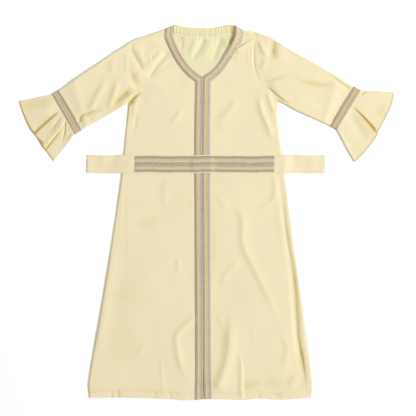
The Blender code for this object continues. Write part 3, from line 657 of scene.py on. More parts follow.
def bell(offset, reach, power=2):
    """1 at no offset and a soft fall towards 0 beyond a reach; a higher power has a flatter top."""
    return np.exp(-((offset / reach) ** power))


def mix(start, end, share):
    """The value at a share of the way from start to end."""
    return start + (end - start) * share


def beat(places, first, second):
    """Two waves multiplied, so that their height comes and goes along some places."""
    return math.prod(np.sin(places * pace + start) for pace, start in (first, second))


def waves_at(waves, x, y):
    """Height of some waves together at plan places."""
    return sum(w.height * np.sin(x / w.across + y / w.along + w.start) for w in waves)


def joined(*parts):
    """Points or plan places, put together from their coordinates."""
    return np.stack(np.broadcast_arrays(*parts), axis=-1)


def curve(table, keys):
    """Values, at some keys, of the smooth curve through (key, value) rows."""
    knots = np.array(table, dtype=float)
    if knots[-1, 0] < knots[0, 0]:
        knots = knots[::-1]
    spots, values = knots.T
    last = len(spots) - 1
    before = np.maximum(np.arange(last + 1) - 1, 0)
    after = np.minimum(np.arange(last + 1) + 1, last)
    slopes = (values[after] - values[before]) / (spots[after] - spots[before])
    low = np.clip(np.searchsorted(spots, keys, side="right") - 1, 0, last - 1)
    span = spots[low + 1] - spots[low]
    share = (keys - spots[low]) / span
    square = share * share
    cube = square * share
    return (
        values[low] * (2 * cube - 3 * square + 1)
        + values[low + 1] * (3 * square - 2 * cube)
        + slopes[low] * span * (cube - 2 * square + share)
        + slopes[low + 1] * span * (cube - square)
    )


def lengths(path):
    """Distance from the start of a path to each of its points."""
    steps = np.linalg.norm(np.diff(path, axis=0), axis=1)
    return np.concatenate(([0.0], np.cumsum(steps)))


def path_point(points, shares):
    """Points at shares of the length of the smooth path through plan points."""
    path = np.array(points, dtype=float)
    travelled = lengths(path)
    keys = np.asarray(shares) * travelled[-1]
    return joined(*(curve(tuple(zip(travelled, axis)), keys) for axis in path.T))


def crease_shape(crease, x, y):
    """Share of its rise that a crease has at plan places, and painted shade on its flank away from
    the light.
    """
    path = path_point(crease.path, np.linspace(0.0, 1.0, PATH_STEPS + 1))
    reach = CREASE_REACH * max(crease.near, crease.far)
    low = path.min(axis=0) - reach
    high = path.max(axis=0) + reach
    inside = (x > low[0]) & (x < high[0]) & (y > low[1]) & (y < high[1])
    shape = np.zeros_like(x)
    shade = np.zeros_like(x)
    places = joined(x[inside], y[inside])
    nearest = np.full(len(places), np.inf)
    sideways = np.zeros(len(places))
    along = np.zeros(len(places))
    for index, (begin, finish) in enumerate(zip(path, path[1:])):
        run = finish - begin
        share = np.clip((places - begin) @ run / (run @ run), 0.0, 1.0)
        offset = places - begin - share[:, None] * run
        gap = np.linalg.norm(offset, axis=1)
        closer = gap < nearest
        nearest[closer] = gap[closer]
        sideways[closer] = offset[closer] @ LIGHT_SIDE / np.maximum(gap[closer], TINY)
        along[closer] = (index + share[closer]) / PATH_STEPS
    lit = soft_step(0.5 + sideways)
    steps = nearest / mix(crease.far, crease.near, lit)
    fade_in, fade_out = np.maximum(crease.fades, TINY)
    fade = mix(FADE_FLOOR, 1.0, soft_step(along / fade_in) * soft_step((1.0 - along) / fade_out))
    bump = bell(steps, 1.0, crease.edge) * fade
    shape[inside] = bump
    shade[inside] = bump
    # Painted shade on the flank that faces away from the light: a fold's far side, a trough's near
    # wall
    if crease.rise:
        steepest = (1.0 - 1.0 / crease.edge) ** (1.0 / crease.edge)
        slope = (steps / steepest) ** (crease.edge - 1.0) * np.exp(steepest**crease.edge)
        shade[inside] *= slope * (1.0 - lit if crease.rise > 0 else lit)
    return shape, shade


def creased(creases, x, y):
    """Height and painted shade that some creases add at plan places."""
    height = np.zeros_like(x)
    gold = np.zeros_like(x)
    for crease in creases.values():
        shape, shade = crease_shape(crease, x, y)
        height += crease.rise * shape
        gold += crease.gold * shade
    return height, gold


def drape(x, y):
    """Height and painted shade that folds give the upper cloth, calm under belt and front braids.
    """
    height, gold = creased(CREASES, x, y)
    by_belt = BELT_CALM * bell(y - BELT_MIDDLE, BELT_CALM_REACH, 4)
    by_braid = np.where(y < NECK_POINT_Y, BRAID_CALM * bell(x, BRAID_CALM_REACH, 4), 0.0)
    free = (1.0 - by_belt) * (1.0 - by_braid)
    return (height + waves_at(WAVES, x, y)) * free, gold * free


def full_height(y):
    """Height of the upper cloth's outer face where it is plain; it sinks to the back at the hem."""
    return TOP - (AIR - HEM_AIR) * past(-y, -HEM_Y - HEM_SINK, HEM_SINK)


def rolled(gap, reach):
    """Share of its height that cloth has at a distance from the edge that it rolls down at."""
    share = np.clip(gap / reach, 0.0, 1.0)
    return mix(ROLL_FLOOR, 1.0, np.sqrt(1.0 - (1.0 - share) ** 2))


def roll_gaps(reach):
    """Distances from a rolled edge at which its cloth has rows."""
    return reach * (1.0 - np.cos(np.linspace(0.0, math.pi / 2, ROLL_STEPS)))


def inner_edge(side, y):
    """Plan points of a front's inner edge: the neckline, then the centre front with its slit."""
    parting = SLIT_WIDTH * past(-y, -SLIT_TOP, SLIT_TOP - HEM_Y) + 2 * SEAM
    centre = curve(CENTRE, y) + OUTWARD[side] * parting / 2
    neck = curve(NECKLINE[side], y) + OUTWARD[side] * SEAM
    return joined(np.where(y > NECKLINE[side][-1].y, neck, centre), y)


def outer_edge(side, y):
    """Plan points of a panel's outer edge: the armhole, then the side seam."""
    above = y > SIDE[side][0].y
    return joined(np.where(above, curve(ARMHOLE[side], y), curve(SIDE[side], y)), y)


def panel_rows(side, step):
    """Inner and outer y of a panel's rows, from the shoulder to the hem."""
    first, *others = STATIONS[side].values()
    inner = list(first.inner_y - roll_gaps(SHOULDER_ROLL))
    outer = list(first.outer_y - roll_gaps(SHOULDER_ROLL))
    for station in others:
        start = (inner[-1], outer[-1])
        count = max(2, round((start[0] - station.inner_y) / step))
        shares = np.arange(1, count + 1) / count
        inner.extend(mix(start[0], station.inner_y, shares))
        outer.extend(mix(start[1], station.outer_y, shares))
    return np.array(inner), np.array(outer)


def braid_edge(side, inner_y):
    """Plan points of the braid's outer edge for rows of a front, mitred at the neck point."""
    top = NECKLINE[side][0].y
    neck_point = NECKLINE[side][-1].y
    keys = np.linspace(top, neck_point + SLIVER, NECK_STEPS)
    neckline = inner_edge(side, keys)
    run = np.gradient(neckline, axis=0)
    normal = joined(run[:, 1], -run[:, 0])
    normal /= np.linalg.norm(normal, axis=1)[:, None]
    normal *= np.sign(normal[:, :1]) * OUTWARD[side]
    moved = neckline + normal * RIBBON
    fade = 1.0 - soft_step((top - keys) / SHOULDER_REACH)
    moved[:, 1] -= SHOULDER_FALL[side] * RIBBON * fade
    corner_x = inner_edge(side, np.array([neck_point]))[0, 0] + OUTWARD[side] * RIBBON
    beyond = (moved[:, 0] - corner_x) * OUTWARD[side]
    last = np.flatnonzero(beyond > 0)[-1]
    share = beyond[last] / (beyond[last] - beyond[last + 1])
    corner = mix(moved[last], moved[last + 1], share)
    rail = np.vstack((moved[: last + 1], corner))
    inner_shares = np.interp(-inner_y, -keys, lengths(neckline) / lengths(neckline)[-1])
    rail_shares = lengths(rail) / lengths(rail)[-1]
    above = joined(*(np.interp(inner_shares, rail_shares, axis) for axis in rail.T))
    drop = (neck_point - corner[1]) * (1.0 - soft_step((neck_point - inner_y) / MITRE_FADE))
    below = inner_edge(side, inner_y - SLIVER) + np.array((OUTWARD[side] * RIBBON, 0.0))
    below[:, 1] = inner_y - drop
    return np.where((inner_y > neck_point)[:, None], above, below)


def standing_edge(side, inner_y, across):
    """Height by which the neck edge stands up from the back, more on the left."""
    height, middle_y = NECK_STAND[side]
    fade = np.clip(1.0 - across / NECK_STAND_WIDTH, 0.0, 1.0) ** NECK_STAND_CURVE
    return height * bell(inner_y - middle_y, NECK_STAND_REACH) * fade


def hem_line(x):
    """Plan y of the hem's own line."""
    return curve(HEM, np.clip(x, HEM[0].x, HEM[-1].x))


def near_hem(y):
    """How far rows follow the hem's own line: not at all high up, and fully at the hem."""
    return past(-y, -HEM_Y - HEM_REACH, HEM_REACH)


def hem_pull(x, y):
    """Plan y with the hem's own line in place of the straight one that the rows end at."""
    corner = np.where(x < 0, HEM[0].y, HEM[-1].y)
    reach = np.where(x < 0, HEM[0].x, HEM[-1].x)
    return y + (hem_line(x) - mix(HEM_Y, corner, x / reach)) * near_hem(y)


def hem_groove(x, y):
    """Height of the dip where the hem's fold is stitched down, and of the ripple beside it."""
    above = y - hem_line(x) - HEM_FOLD
    ripple = HEM_RIPPLE * beat(x, *HEM_RIPPLE_BEAT) * bell(above, HEM_RIPPLE_REACH)
    return ripple - HEM_GROOVE * bell(above, HEM_GROOVE_REACH)


def seam_deep(y):
    """Share of its depth that the armhole seam has at a height up the garment."""
    return mix(SEAM_LEAST, 1.0, bell(y - SEAM_DEEP_Y, SEAM_DEEP_REACH, 4))


def seam_dip(side, gap, y):
    """Dip and puckers of the cloth beside the armhole seam, deepest on the left at chest height."""
    pucker = PUCKER_RISE * beat(y, *PUCKER_BEAT) * bell(gap, PUCKER_REACH, 1)
    return pucker - SEAM_DEPTH[side] * seam_deep(y) * bell(gap, SEAM_HALF_WIDTH, SEAM_CURVE)


def front_height(side, plan, y, inner, share):
    """Height of a front's outer face and its painted shade; share is 1 away from its rolled edges.
    """
    folds, gold = drape(plan[..., 0], y)
    across = np.linalg.norm(plan - inner[:, None], axis=-1)
    folds += standing_edge(side, inner[:, None, 1], across)
    height = full_height(y) + folds * soft_step(share)
    return share * np.maximum(height, LOWEST), gold


def front_surface(side):
    """Outer face of a front: rows from shoulder to hem, columns from the inner edge outwards."""
    inner_y, outer_y = panel_rows(side, CLOTH_STEP)
    inner = inner_edge(side, inner_y)
    rail = braid_edge(side, inner_y)
    outer = outer_edge(side, outer_y)
    inward = rail - outer
    inward /= np.linalg.norm(inward, axis=1)[:, None]
    gaps = roll_gaps(SIDE_ROLL)[::-1]
    rim = outer + inward * gaps[0]
    count = round((HEM[-1].x - RIBBON) / CLOTH_STEP)
    columns = [mix(inner, rail, share) for share in np.linspace(0.0, 1.0, FRONT_RIBBON_STEPS)]
    columns += [mix(rail, rim, share) for share in np.arange(1, count) / count]
    columns += [outer + inward * gap for gap in gaps]
    plan = np.stack(columns, axis=1)
    x = plan[..., 0]
    y = hem_pull(x, plan[..., 1])
    to_side = np.linalg.norm(plan - outer[:, None], axis=-1)
    below_arm = STATIONS[side]["underarm"].outer_y - outer_y
    folded = past(below_arm, -FOLD_START, FOLD_START) + past(below_arm, 0.0, FOLD_REACH)
    sleeved = (1.0 - past(below_arm, *SEAM_FADE))[:, None]
    drop = rolled(STATIONS[side]["shoulder"].inner_y - inner_y, SHOULDER_ROLL)[:, None]
    share = drop * mix(1.0, rolled(to_side, SIDE_ROLL), folded[:, None] / 2)
    z, gold = front_height(side, plan, y, inner, share)
    sewn = hem_groove(x, y) + seam_dip(side, to_side, outer_y[:, None]) * sleeved
    z += sewn * share * soft_step(share)
    # Painted shade in the hem groove and in the dip beside the armhole seam
    gold += SEWN_PAINTED_SHADE * np.clip(-sewn, 0.0, 1.0)
    return Surface(joined(x, y, z), joined(x, y), gold)


def ribbon_profile(across):
    """Height of the braid over its base: a twisted cord at each edge and ribs between."""
    from_outer = RIBBON - across
    inner, outer = (
        CORD_RISE * np.abs(np.sin(math.tau * place / width)) ** CORD_ROUND
        for place, width in ((across, INNER_SILVER), (from_outer, OUTER_SILVER))
    )
    ribs = RIB_BASE + RIB_RISE * np.abs(np.sin(math.pi * (across - INNER_SILVER) / RIB_PITCH))
    height = np.where(from_outer < OUTER_SILVER, outer, ribs)
    height = np.where(across < INNER_SILVER, inner, height)
    to_edge = np.minimum(across, from_outer)
    return RIBBON_WALL + height - RIBBON_EDGE_DROP * bell(to_edge, RIBBON_EDGE_REACH, 1)


def front_braid_surface(side):
    """Outer face of the ribbon on a front, on the front's own height."""
    inner_y = panel_rows(side, BRAID_STEP)[0][1:]
    inner = inner_edge(side, inner_y)
    rail = braid_edge(side, inner_y)
    shares = np.linspace(0.0, 1.0, RIBBON_STEPS + 1)
    plan = np.stack([mix(inner, rail, share) for share in shares], axis=1)
    y = hem_pull(plan[..., 0], plan[..., 1])
    share = rolled(STATIONS[side]["shoulder"].inner_y - inner_y, SHOULDER_ROLL)[:, None]
    z, _ = front_height(side, plan, y, inner, share)
    z += SEAM + ribbon_profile(shares * RIBBON) * mix(RIBBON_SHOULDER, 1.0, share)
    weave = joined(lengths(inner)[:, None], shares * RIBBON)
    return Surface(joined(plan[..., 0], y, z), weave, 0.0 * z)


def back_surface():
    """Upper face of the back, flat on the floor: rows from neck to hem, columns right to left."""
    tops = [STATIONS[side]["shoulder"].outer_y for side in SIDES]
    feet = [STATIONS[side]["hem"].outer_y for side in SIDES]
    fine = np.arange(0.0, BACK_FINE, BACK_FINE_STEP)
    drops = np.concatenate((fine, np.linspace(BACK_FINE, tops[0] - feet[0], BACK_ROWS)))
    right_y, left_y = (mix(top, foot, drops / drops[-1]) for top, foot in zip(tops, feet))
    start = outer_edge("right", right_y)
    end = outer_edge("left", left_y)
    below_arm = STATIONS["right"]["underarm"].outer_y - right_y
    inset = BACK_INSET + BACK_TUCK * past(below_arm, *BACK_TUCK_FADE)
    start[:, 0] += inset
    end[:, 0] -= inset
    columns = np.linspace(0.0, 1.0, BACK_STEPS)
    plan = mix(start[:, None], end[:, None], columns[:, None])
    neck_y = curve(BACK_NECK, mix(BACK_NECK[0].x, BACK_NECK[-1].x, columns))
    lift = np.clip(1.0 - drops / NECK_LIFT_REACH, 0.0, 1.0)[:, None] ** 2
    x = plan[..., 0]
    y = plan[..., 1] + lift * (neck_y - mix(BACK_NECK[0].y, BACK_NECK[-1].y, columns))
    y += (hem_line(x) + BACK_INSET - mix(*feet, columns)) * near_hem(y)
    # Folds of the back with painted shade on their flanks; painted shadow under the left neck edge
    # is added below
    height, gold = creased(BACK_CREASES, x, y)
    shown = past(y, NECK_POINT_Y, SHOWN_FADE) * bell(x - SHOWN_MIDDLE, SHOWN_HALF, 8)
    spread = np.clip((y - FAN_FOOT) / FAN_LENGTH, 0.0, 1.0)
    fan = FAN_RISE * gather_wave(x * (1.0 + FAN_SPREAD * (1.0 - spread))) * spread**FAN_CURVE
    z = BACK_TOP_FACE + np.maximum(height + BACK_PUFF + fan, 0.0) * shown
    return Surface(joined(x, y, z), joined(x, y), (gold + neck_shade(x, y)) * shown)


def gather_wave(x):
    """Height share of the gathers along the back neck, uneven in width and height."""
    share = (x - CASING_ENDS[0]) / (CASING_ENDS[1] - CASING_ENDS[0])
    drift = sum(size * np.sin(share * pace) for size, pace in GATHER_DRIFT)
    uneven = 1.0 + GATHER_UNEVEN * (beat(share, *GATHER_BEAT) - 1.0)
    return (0.5 - 0.5 * np.cos(math.tau * GATHERS * (share + drift))) * uneven


def casing_lean(x, depth):
    """Places across the casing, shifted down its depth so that its gathers wander."""
    return x + waves_at(CASING_LEAN, x, depth)


def casing_height(x, depth):
    """Height of the casing's outer face: a tunnel for its elastic, gathered, with sewn grooves."""
    arch = np.sin(math.pi * np.clip(depth / CASING_DEPTH, 0.0, 1.0))
    sewn = sum(bell(depth - row, CASING_GROOVE_HALF) for row in CASING_STITCHES.values())
    gathers = GATHER_RISE * mix(GATHER_AT_EDGE, 1.0, arch**GATHER_CURVE)
    gathers = gathers * gather_wave(casing_lean(x, depth))
    return 2 * WALL + CASING_AIR + CASING_ARCH * np.sqrt(arch) + gathers - CASING_GROOVE * sewn


def neck_shade(x, y):
    """Painted shadow, gold-toned, in the pocket under the left neck edge, where it stands up from
    the back.
    """
    neckline = NECKLINE["left"]
    gap = curve(neckline, np.clip(y, neckline[-1].y, neckline[0].y)) - x
    beside = bell(np.maximum(gap, 0.0), NECK_SHADE_WIDTH)
    return beside * bell(y - NECK_SHADE_Y, NECK_SHADE_REACH, 4)


def casing_surface():
    """Outer face of the casing that elastic gathers, on the inside of the back at its neck."""
    depth = np.concatenate([np.linspace(*stretch) for stretch in CASING_ROWS])[:, None]
    x = np.linspace(*CASING_ENDS, GATHERS * GATHER_STEPS + 1)
    y = curve(BACK_NECK, x) - depth
    hollow = 1.0 - gather_wave(casing_lean(x, depth))
    # Painted shade in the hollows between gathers and along the casing's foot, and painted shadow
    # under the left neck edge, over an even tint
    gold = CASING_GOLD + HOLLOW_PAINTED_SHADE * hollow**3 + neck_shade(x, y)
    gold += CASING_FOOT_PAINTED_SHADE * bell(depth - CASING_DEPTH, CASING_FOOT_REACH)
    return Surface(joined(x, y, casing_height(x, depth)), joined(x, y), gold)


def edge_point(sections, edge, shares):
    """Plan points at shares of the length of a tube's upper or lower edge."""
    return path_point([getattr(section, edge) for section in sections.values()], shares)


def straight_across(section, share):
    """Plan points on the straight line from a section's upper end to its lower end."""
    return mix(np.array(section.upper, dtype=float), np.array(section.lower, dtype=float), share)


def sleeve_plan(side, across, along):
    """Plan points of a sleeve: across from its upper edge, along from the armhole to the cuff."""
    upper, lower = (edge_point(SLEEVE[side], edge, along) for edge in EDGES)
    share = across[..., None]
    armhole = ARMHOLE[side]
    seam_y = mix(armhole[0].y, armhole[-1].y, share)
    seam = np.concatenate((curve(armhole, seam_y), seam_y), axis=-1)
    run = curve(armhole, seam_y - SEAM_PROBE) - curve(armhole, seam_y + SEAM_PROBE)
    clear = np.concatenate((np.full_like(run, -2 * SEAM_PROBE), -run), axis=-1)
    clear *= np.sign(clear[..., :1]) * OUTWARD[side]
    clear *= SEAM_GAP[side] * seam_deep(seam_y) / np.linalg.norm(clear, axis=-1)[..., None]
    bow = seam - straight_across(SLEEVE[side]["armhole"], share) + clear
    fade = np.clip(1.0 - along / BOW_REACH, 0.0, 1.0)[..., None] ** 2
    return mix(upper, lower, share) + bow * fade


def ring_columns(width, floor, top, shares, below, grow):
    """Shares across and heights of a flattened tube's rings, and which of them lie on its top.

    The ring goes up round its upper edge, over the top, down round its lower edge and back below.
    """
    radius = (top - floor) / 2 + grow
    arc = np.linspace(-math.pi / 2, math.pi / 2, ARC_STEPS + 1)[None, :]
    inset = ((top - floor) / 2 - radius * np.cos(arc)) / width
    up = (top + floor) / 2 + radius * np.sin(arc)
    every = np.ones_like(width)
    stretches = (
        (inset, up, 0.0),
        (every * shares, top + grow, 1.0),
        (1.0 - inset[:, ::-1], up[:, ::-1], 0.0),
        (every * below[:, ::-1], floor - grow, 0.0),
        (inset[:, :1], up[:, :1], 0.0),
    )
    ring = [np.broadcast_arrays(*stretch) for stretch in stretches]
    return [np.concatenate(parts, axis=1) for parts in zip(*ring)]


def sleeve_surface(side, alongs, grow, steps):
    """Outer face of a sleeve's rings, or of a braid grown round them.

    Each ring has a share of the sleeve's length at its upper edge and one at its lower edge.
    """
    upper, lower = (edge_point(SLEEVE[side], edge, alongs[edge]) for edge in EDGES)
    width = np.linalg.norm(lower - upper, axis=1)[:, None]
    first = alongs["upper"][:, None]
    ends = EDGE_INSET / width.min()
    shares = np.linspace(ends, 1.0 - ends, steps)[None, :]
    below = np.linspace(*SLEEVE_UNDER, steps // 3)[None, :]
    lift = CUFF_LIFT * past(first, *CUFF_LIFT_FADE)
    puff = SLEEVE_PUFF * past(first, *PUFF_GROWTH) * (1.0 - past(first, *PUFF_FADE))
    top = TOP + lift + puff
    across, height, on_top = ring_columns(width, lift, top, shares, below, grow[:, None])
    along = mix(first, alongs["lower"][:, None], across)
    x, y = np.moveaxis(sleeve_plan(side, across, along), -1, 0)
    folds, gold = drape(x, y)
    run = along * sleeve_length(side, "upper")
    folds += seam_dip(side, run, y) + cuff_gathers(side, across, along)
    folds = np.maximum(folds, 2 * WALL + SEAM - TOP)
    from_edge = np.minimum(across, 1.0 - across) * width
    calm = 1.0 - SLEEVE_CALM * past(along, *SLEEVE_CALM_FADE)
    height = height + folds * past(from_edge, *SLEEVE_EDGE_FADE) * on_top * calm
    # Painted crease shade only on the top, fading out near the edges
    gold = gold * on_top * past(from_edge, *EDGE_PAINTED_SHADE_FADE)
    return Surface(joined(x, y, height), joined(across * width, run), gold)


def cuff_gathers(side, across, along):
    """Small tucks of the sleeve where the braid is sewn on."""
    near = bell(along - mix(*CUFF_TUCK_AT.values(), across), CUFF_TUCK_REACH)
    return CUFF_TUCK * near * beat(across, *CUFF_BEAT[side])


def sleeve_length(side, edge):
    """Length of a sleeve along its upper or lower edge."""
    return lengths(np.array([getattr(section, edge) for section in SLEEVE[side].values()]))[-1]


def cuff_braid_surface(side):
    """Outer face of the ribbon round the sleeve's end."""
    from_end = RIBBON - np.linspace(0.0, RIBBON, RIBBON_STEPS + 1)
    inward = from_end - CUFF_RIBBON_PAST
    alongs = {edge: 1.0 - inward / sleeve_length(side, edge) for edge in EDGES}
    grow = SEAM + CUFF_RIBBON_SHARE * ribbon_profile(from_end)
    surface = sleeve_surface(side, alongs, grow, CUFF_STEPS)
    weave = joined(lengths(surface.points.mean(axis=0)), from_end[:, None])
    return Surface(surface.points, weave, 0.0 * surface.gold)


def flounce_plan(side, across, along):
    """Plan points of a flounce, ruled between its edges and bowed along its rim."""
    upper, lower = (edge_point(FLOUNCE[side], edge, along) for edge in EDGES)
    share = across[..., None]
    bow = path_point(RIM[side], across) - straight_across(FLOUNCE[side]["rim"], share)
    return mix(upper, lower, share) + bow * (soft_step(along) * along)[..., None]


def flounce_top(side, width, along):
    """Shares across and heights of a flounce's upper face, lapped over itself at each pleat."""
    strength = soft_step(along * PLEAT_GROWTH)
    start = FLOUNCE_INSET / width
    half = FOLD_SPAN / 2 / width
    steps = np.arange(1, FLOUNCE_STEPS) / FLOUNCE_STEPS
    shares = []
    heights = []
    for pleat in PLEATS[side]:
        centre = mix(pleat.at_cuff, pleat.at_rim, along)
        rise = pleat.rise * strength
        shares += [mix(start, centre - half, step) for step in steps]
        heights += [rise * soft_step(step) ** PLEAT_CURVE for step in steps]
        for turn in np.linspace(-1.0, 1.0, PLEAT_STEPS):
            lap = pleat.overlap * strength * math.sin(math.pi * turn) / width
            shares.append(centre + half * turn - lap)
            heights.append(rise * (0.5 - 0.5 * math.sin(math.pi * turn / 2)))
        start = centre + half
    shares += [mix(start, 1.0 - FLOUNCE_INSET / width, step) for step in steps]
    heights += [0.0 * width] * len(steps)
    return np.concatenate(shares, axis=1), np.concatenate(heights, axis=1)


def flounce_jut(side, across, along, low):
    """How a flounce's points move outwards: its lower face most, and what lies below its pleat."""
    lap = PLEATS[side][0]
    beyond = past(across, mix(lap.at_cuff, lap.at_rim, along), LAP_JUT_WIDTH)
    cuff, rim = flounce_plan(side, np.full(2, 0.5), np.array((0.0, 1.0)))
    outward = (rim - cuff) / math.dist(FLOUNCE[side]["cuff"].upper, FLOUNCE[side]["rim"].upper)
    jut = (FLOUNCE_UNDERLAP * (low - 0.5) + LAP_JUT[side] * beyond * along) * along
    return outward * jut[..., None]


def flounce_surface(side):
    """Outer face of a flounce, a flared tube from the cuff seam to the rim."""
    alongs = np.linspace(0.0, 1.0, FLOUNCE_ROWS)
    along = alongs[:, None]
    width = mix(math.dist(*FLOUNCE[side]["cuff"]), math.dist(*FLOUNCE[side]["rim"]), along)
    top = mix(FLOUNCE_TOP, FLOUNCE_RIM_TOP[side], soft_step(along / FLOUNCE_SINK))
    shares, heights = flounce_top(side, width, along)
    below = np.linspace(*FLOUNCE_UNDER, FLOUNCE_BELOW)[None, :]
    across, height, on_top = ring_columns(width, 0.0 * width, top, shares, below, 0.0)
    height[:, ARC_STEPS + 1 : ARC_STEPS + 1 + shares.shape[1]] += heights
    plan = flounce_plan(side, across, np.broadcast_to(along, across.shape))
    folds, gold = drape(plan[..., 0], plan[..., 1])
    from_edge = np.minimum(across, 1.0 - across) * width
    near_edge = past(from_edge, *FLOUNCE_EDGE_FADE) * on_top * soft_step(along / FLOUNCE_START)
    folds += rim_flutes(side, across, along)
    folds -= RIM_HEM * bell(1.0 - along - RIM_HEM_REACH, RIM_HEM_REACH)
    height = height + np.maximum(folds, 2 * WALL + SEAM - top) * near_edge
    plan = plan + flounce_jut(side, across, along, 1.0 - soft_step(height / top))
    run = lengths(edge_point(FLOUNCE[side], "upper", alongs))[:, None]
    # Painted crease shade only on the top, fading out near the edges, then painted shade in the
    # pleats' mouths and along the rim
    gold = gold * on_top * past(from_edge, *EDGE_PAINTED_SHADE_FADE)
    gold += lap_painted_shade(side, across, along, on_top)
    return Surface(joined(plan[..., 0], plan[..., 1], height), joined(across * width, run), gold)


def rim_flutes(side, across, along):
    """Soft flutes of a flounce that grow towards its rim."""
    return FLUTE_RISE * along**FLUTE_CURVE * beat(across, *FLUTE_BEAT[side])


def lap_painted_shade(side, across, along, on_top):
    """Painted shade in the mouth of each pleat, on its lower side, and along the rim."""
    gold = np.zeros_like(across)
    for pleat in PLEATS[side]:
        centre = mix(pleat.at_cuff, pleat.at_rim, along)
        width = pleat.mouth * mix(1.0, mix(MOUTH_NARROW, 1.0, along), pleat.closed)
        mouth = bell(across - centre - MOUTH_OFFSET, width) * soft_step(along * MOUTH_OPENING)
        gold += pleat.gold * mouth * (1.0 - pleat.closed * past(along, *MOUTH_FADE))
    return gold * on_top + RIM_PAINTED_SHADE[side] * bell(1.0 - along, RIM_PAINTED_SHADE_REACH)


def spaced(start, end, step):
    """Places from start to end, about a step apart."""
    return np.linspace(start, end, round((end - start) / step) + 1)


def belt_surface():
    """Outer face of the belt, from its right end to its left end."""
    right, left = BELT_END.values()
    x = spaced(right, left, CLOTH_STEP)[:, None]
    y = np.linspace(BELT_TOP, BELT_FOOT, BELT_STEPS)
    y = y + waves_at(BELT_SWAY, x, y)
    to_fold = np.minimum(y - BELT_FOOT, BELT_TOP - y)
    z = belt_height(x, y) - BELT_FOLD_DROP * bell(to_fold, BELT_FOLD_REACH, 1)
    for gap, depth in BELT_END_GROOVES:
        z -= depth * bell(np.minimum(x - right, left - x) - gap, BELT_GROOVE_HALF)
    return Surface(joined(x, y, np.maximum(z, BELT_WALL)), joined(x, y), 0.0 * z)


def belt_height(x, y):
    """Height of the belt's outer face, over the fronts, the braid and then the floor."""
    edge = np.where(x < 0, -curve(SIDE["right"], y), curve(SIDE["left"], y))
    on_body = (full_height(y) + SEAM) * (1.0 - past(np.abs(x), edge - BELT_SINK_INSET, BELT_SINK))
    over_braid = RIBBON_WALL + CORD_RISE + SEAM
    over_braid = over_braid * (1.0 - past(np.abs(x), RIBBON, BELT_OVER_BRAID))
    start, end = BELT_BRAID_ENDS
    braided = past(x, start - BELT_BRAID_MARGIN, 2 * BELT_BRAID_MARGIN)
    braided = braided * past(-x, -end - BELT_BRAID_MARGIN, 2 * BELT_BRAID_MARGIN)
    ripple = (BELT_RIPPLE_TOP + waves_at(BELT_RIPPLES, x, y)) * (1.0 - BELT_BRAID_CALM * braided)
    return BELT_WALL + on_body + over_braid + ripple


def belt_braid_surface(top_y, turned):
    """Outer face of a ribbon on the belt, from its top edge down; turned has the wide silver up."""
    x = spaced(*BELT_BRAID_ENDS, BRAID_STEP)[:, None]
    across = np.linspace(0.0, RIBBON, RIBBON_STEPS + 1)
    y = top_y - across + waves_at(BELT_SWAY, x, across)
    from_inner = RIBBON - across if turned else across
    z = belt_height(x, y) + SEAM + ribbon_profile(from_inner)
    return Surface(joined(x, y, z), joined(x - BELT_BRAID_ENDS[0], from_inner), 0.0 * z)


class Value:
    """An output of a node, which adds, subtracts and multiplies like a number."""

    def __init__(self, finish, socket):
        self.finish = finish
        self.socket = socket

    def __add__(self, other):
        return self.finish.maths("ADD", self, other)

    def __radd__(self, other):
        return self.finish.maths("ADD", other, self)

    def __sub__(self, other):
        return self.finish.maths("SUBTRACT", self, other)

    def __rsub__(self, other):
        return self.finish.maths("SUBTRACT", other, self)

    def __mul__(self, other):
        return self.finish.maths("MULTIPLY", self, other)

    def __rmul__(self, other):
        return self.finish.maths("MULTIPLY", other, self)


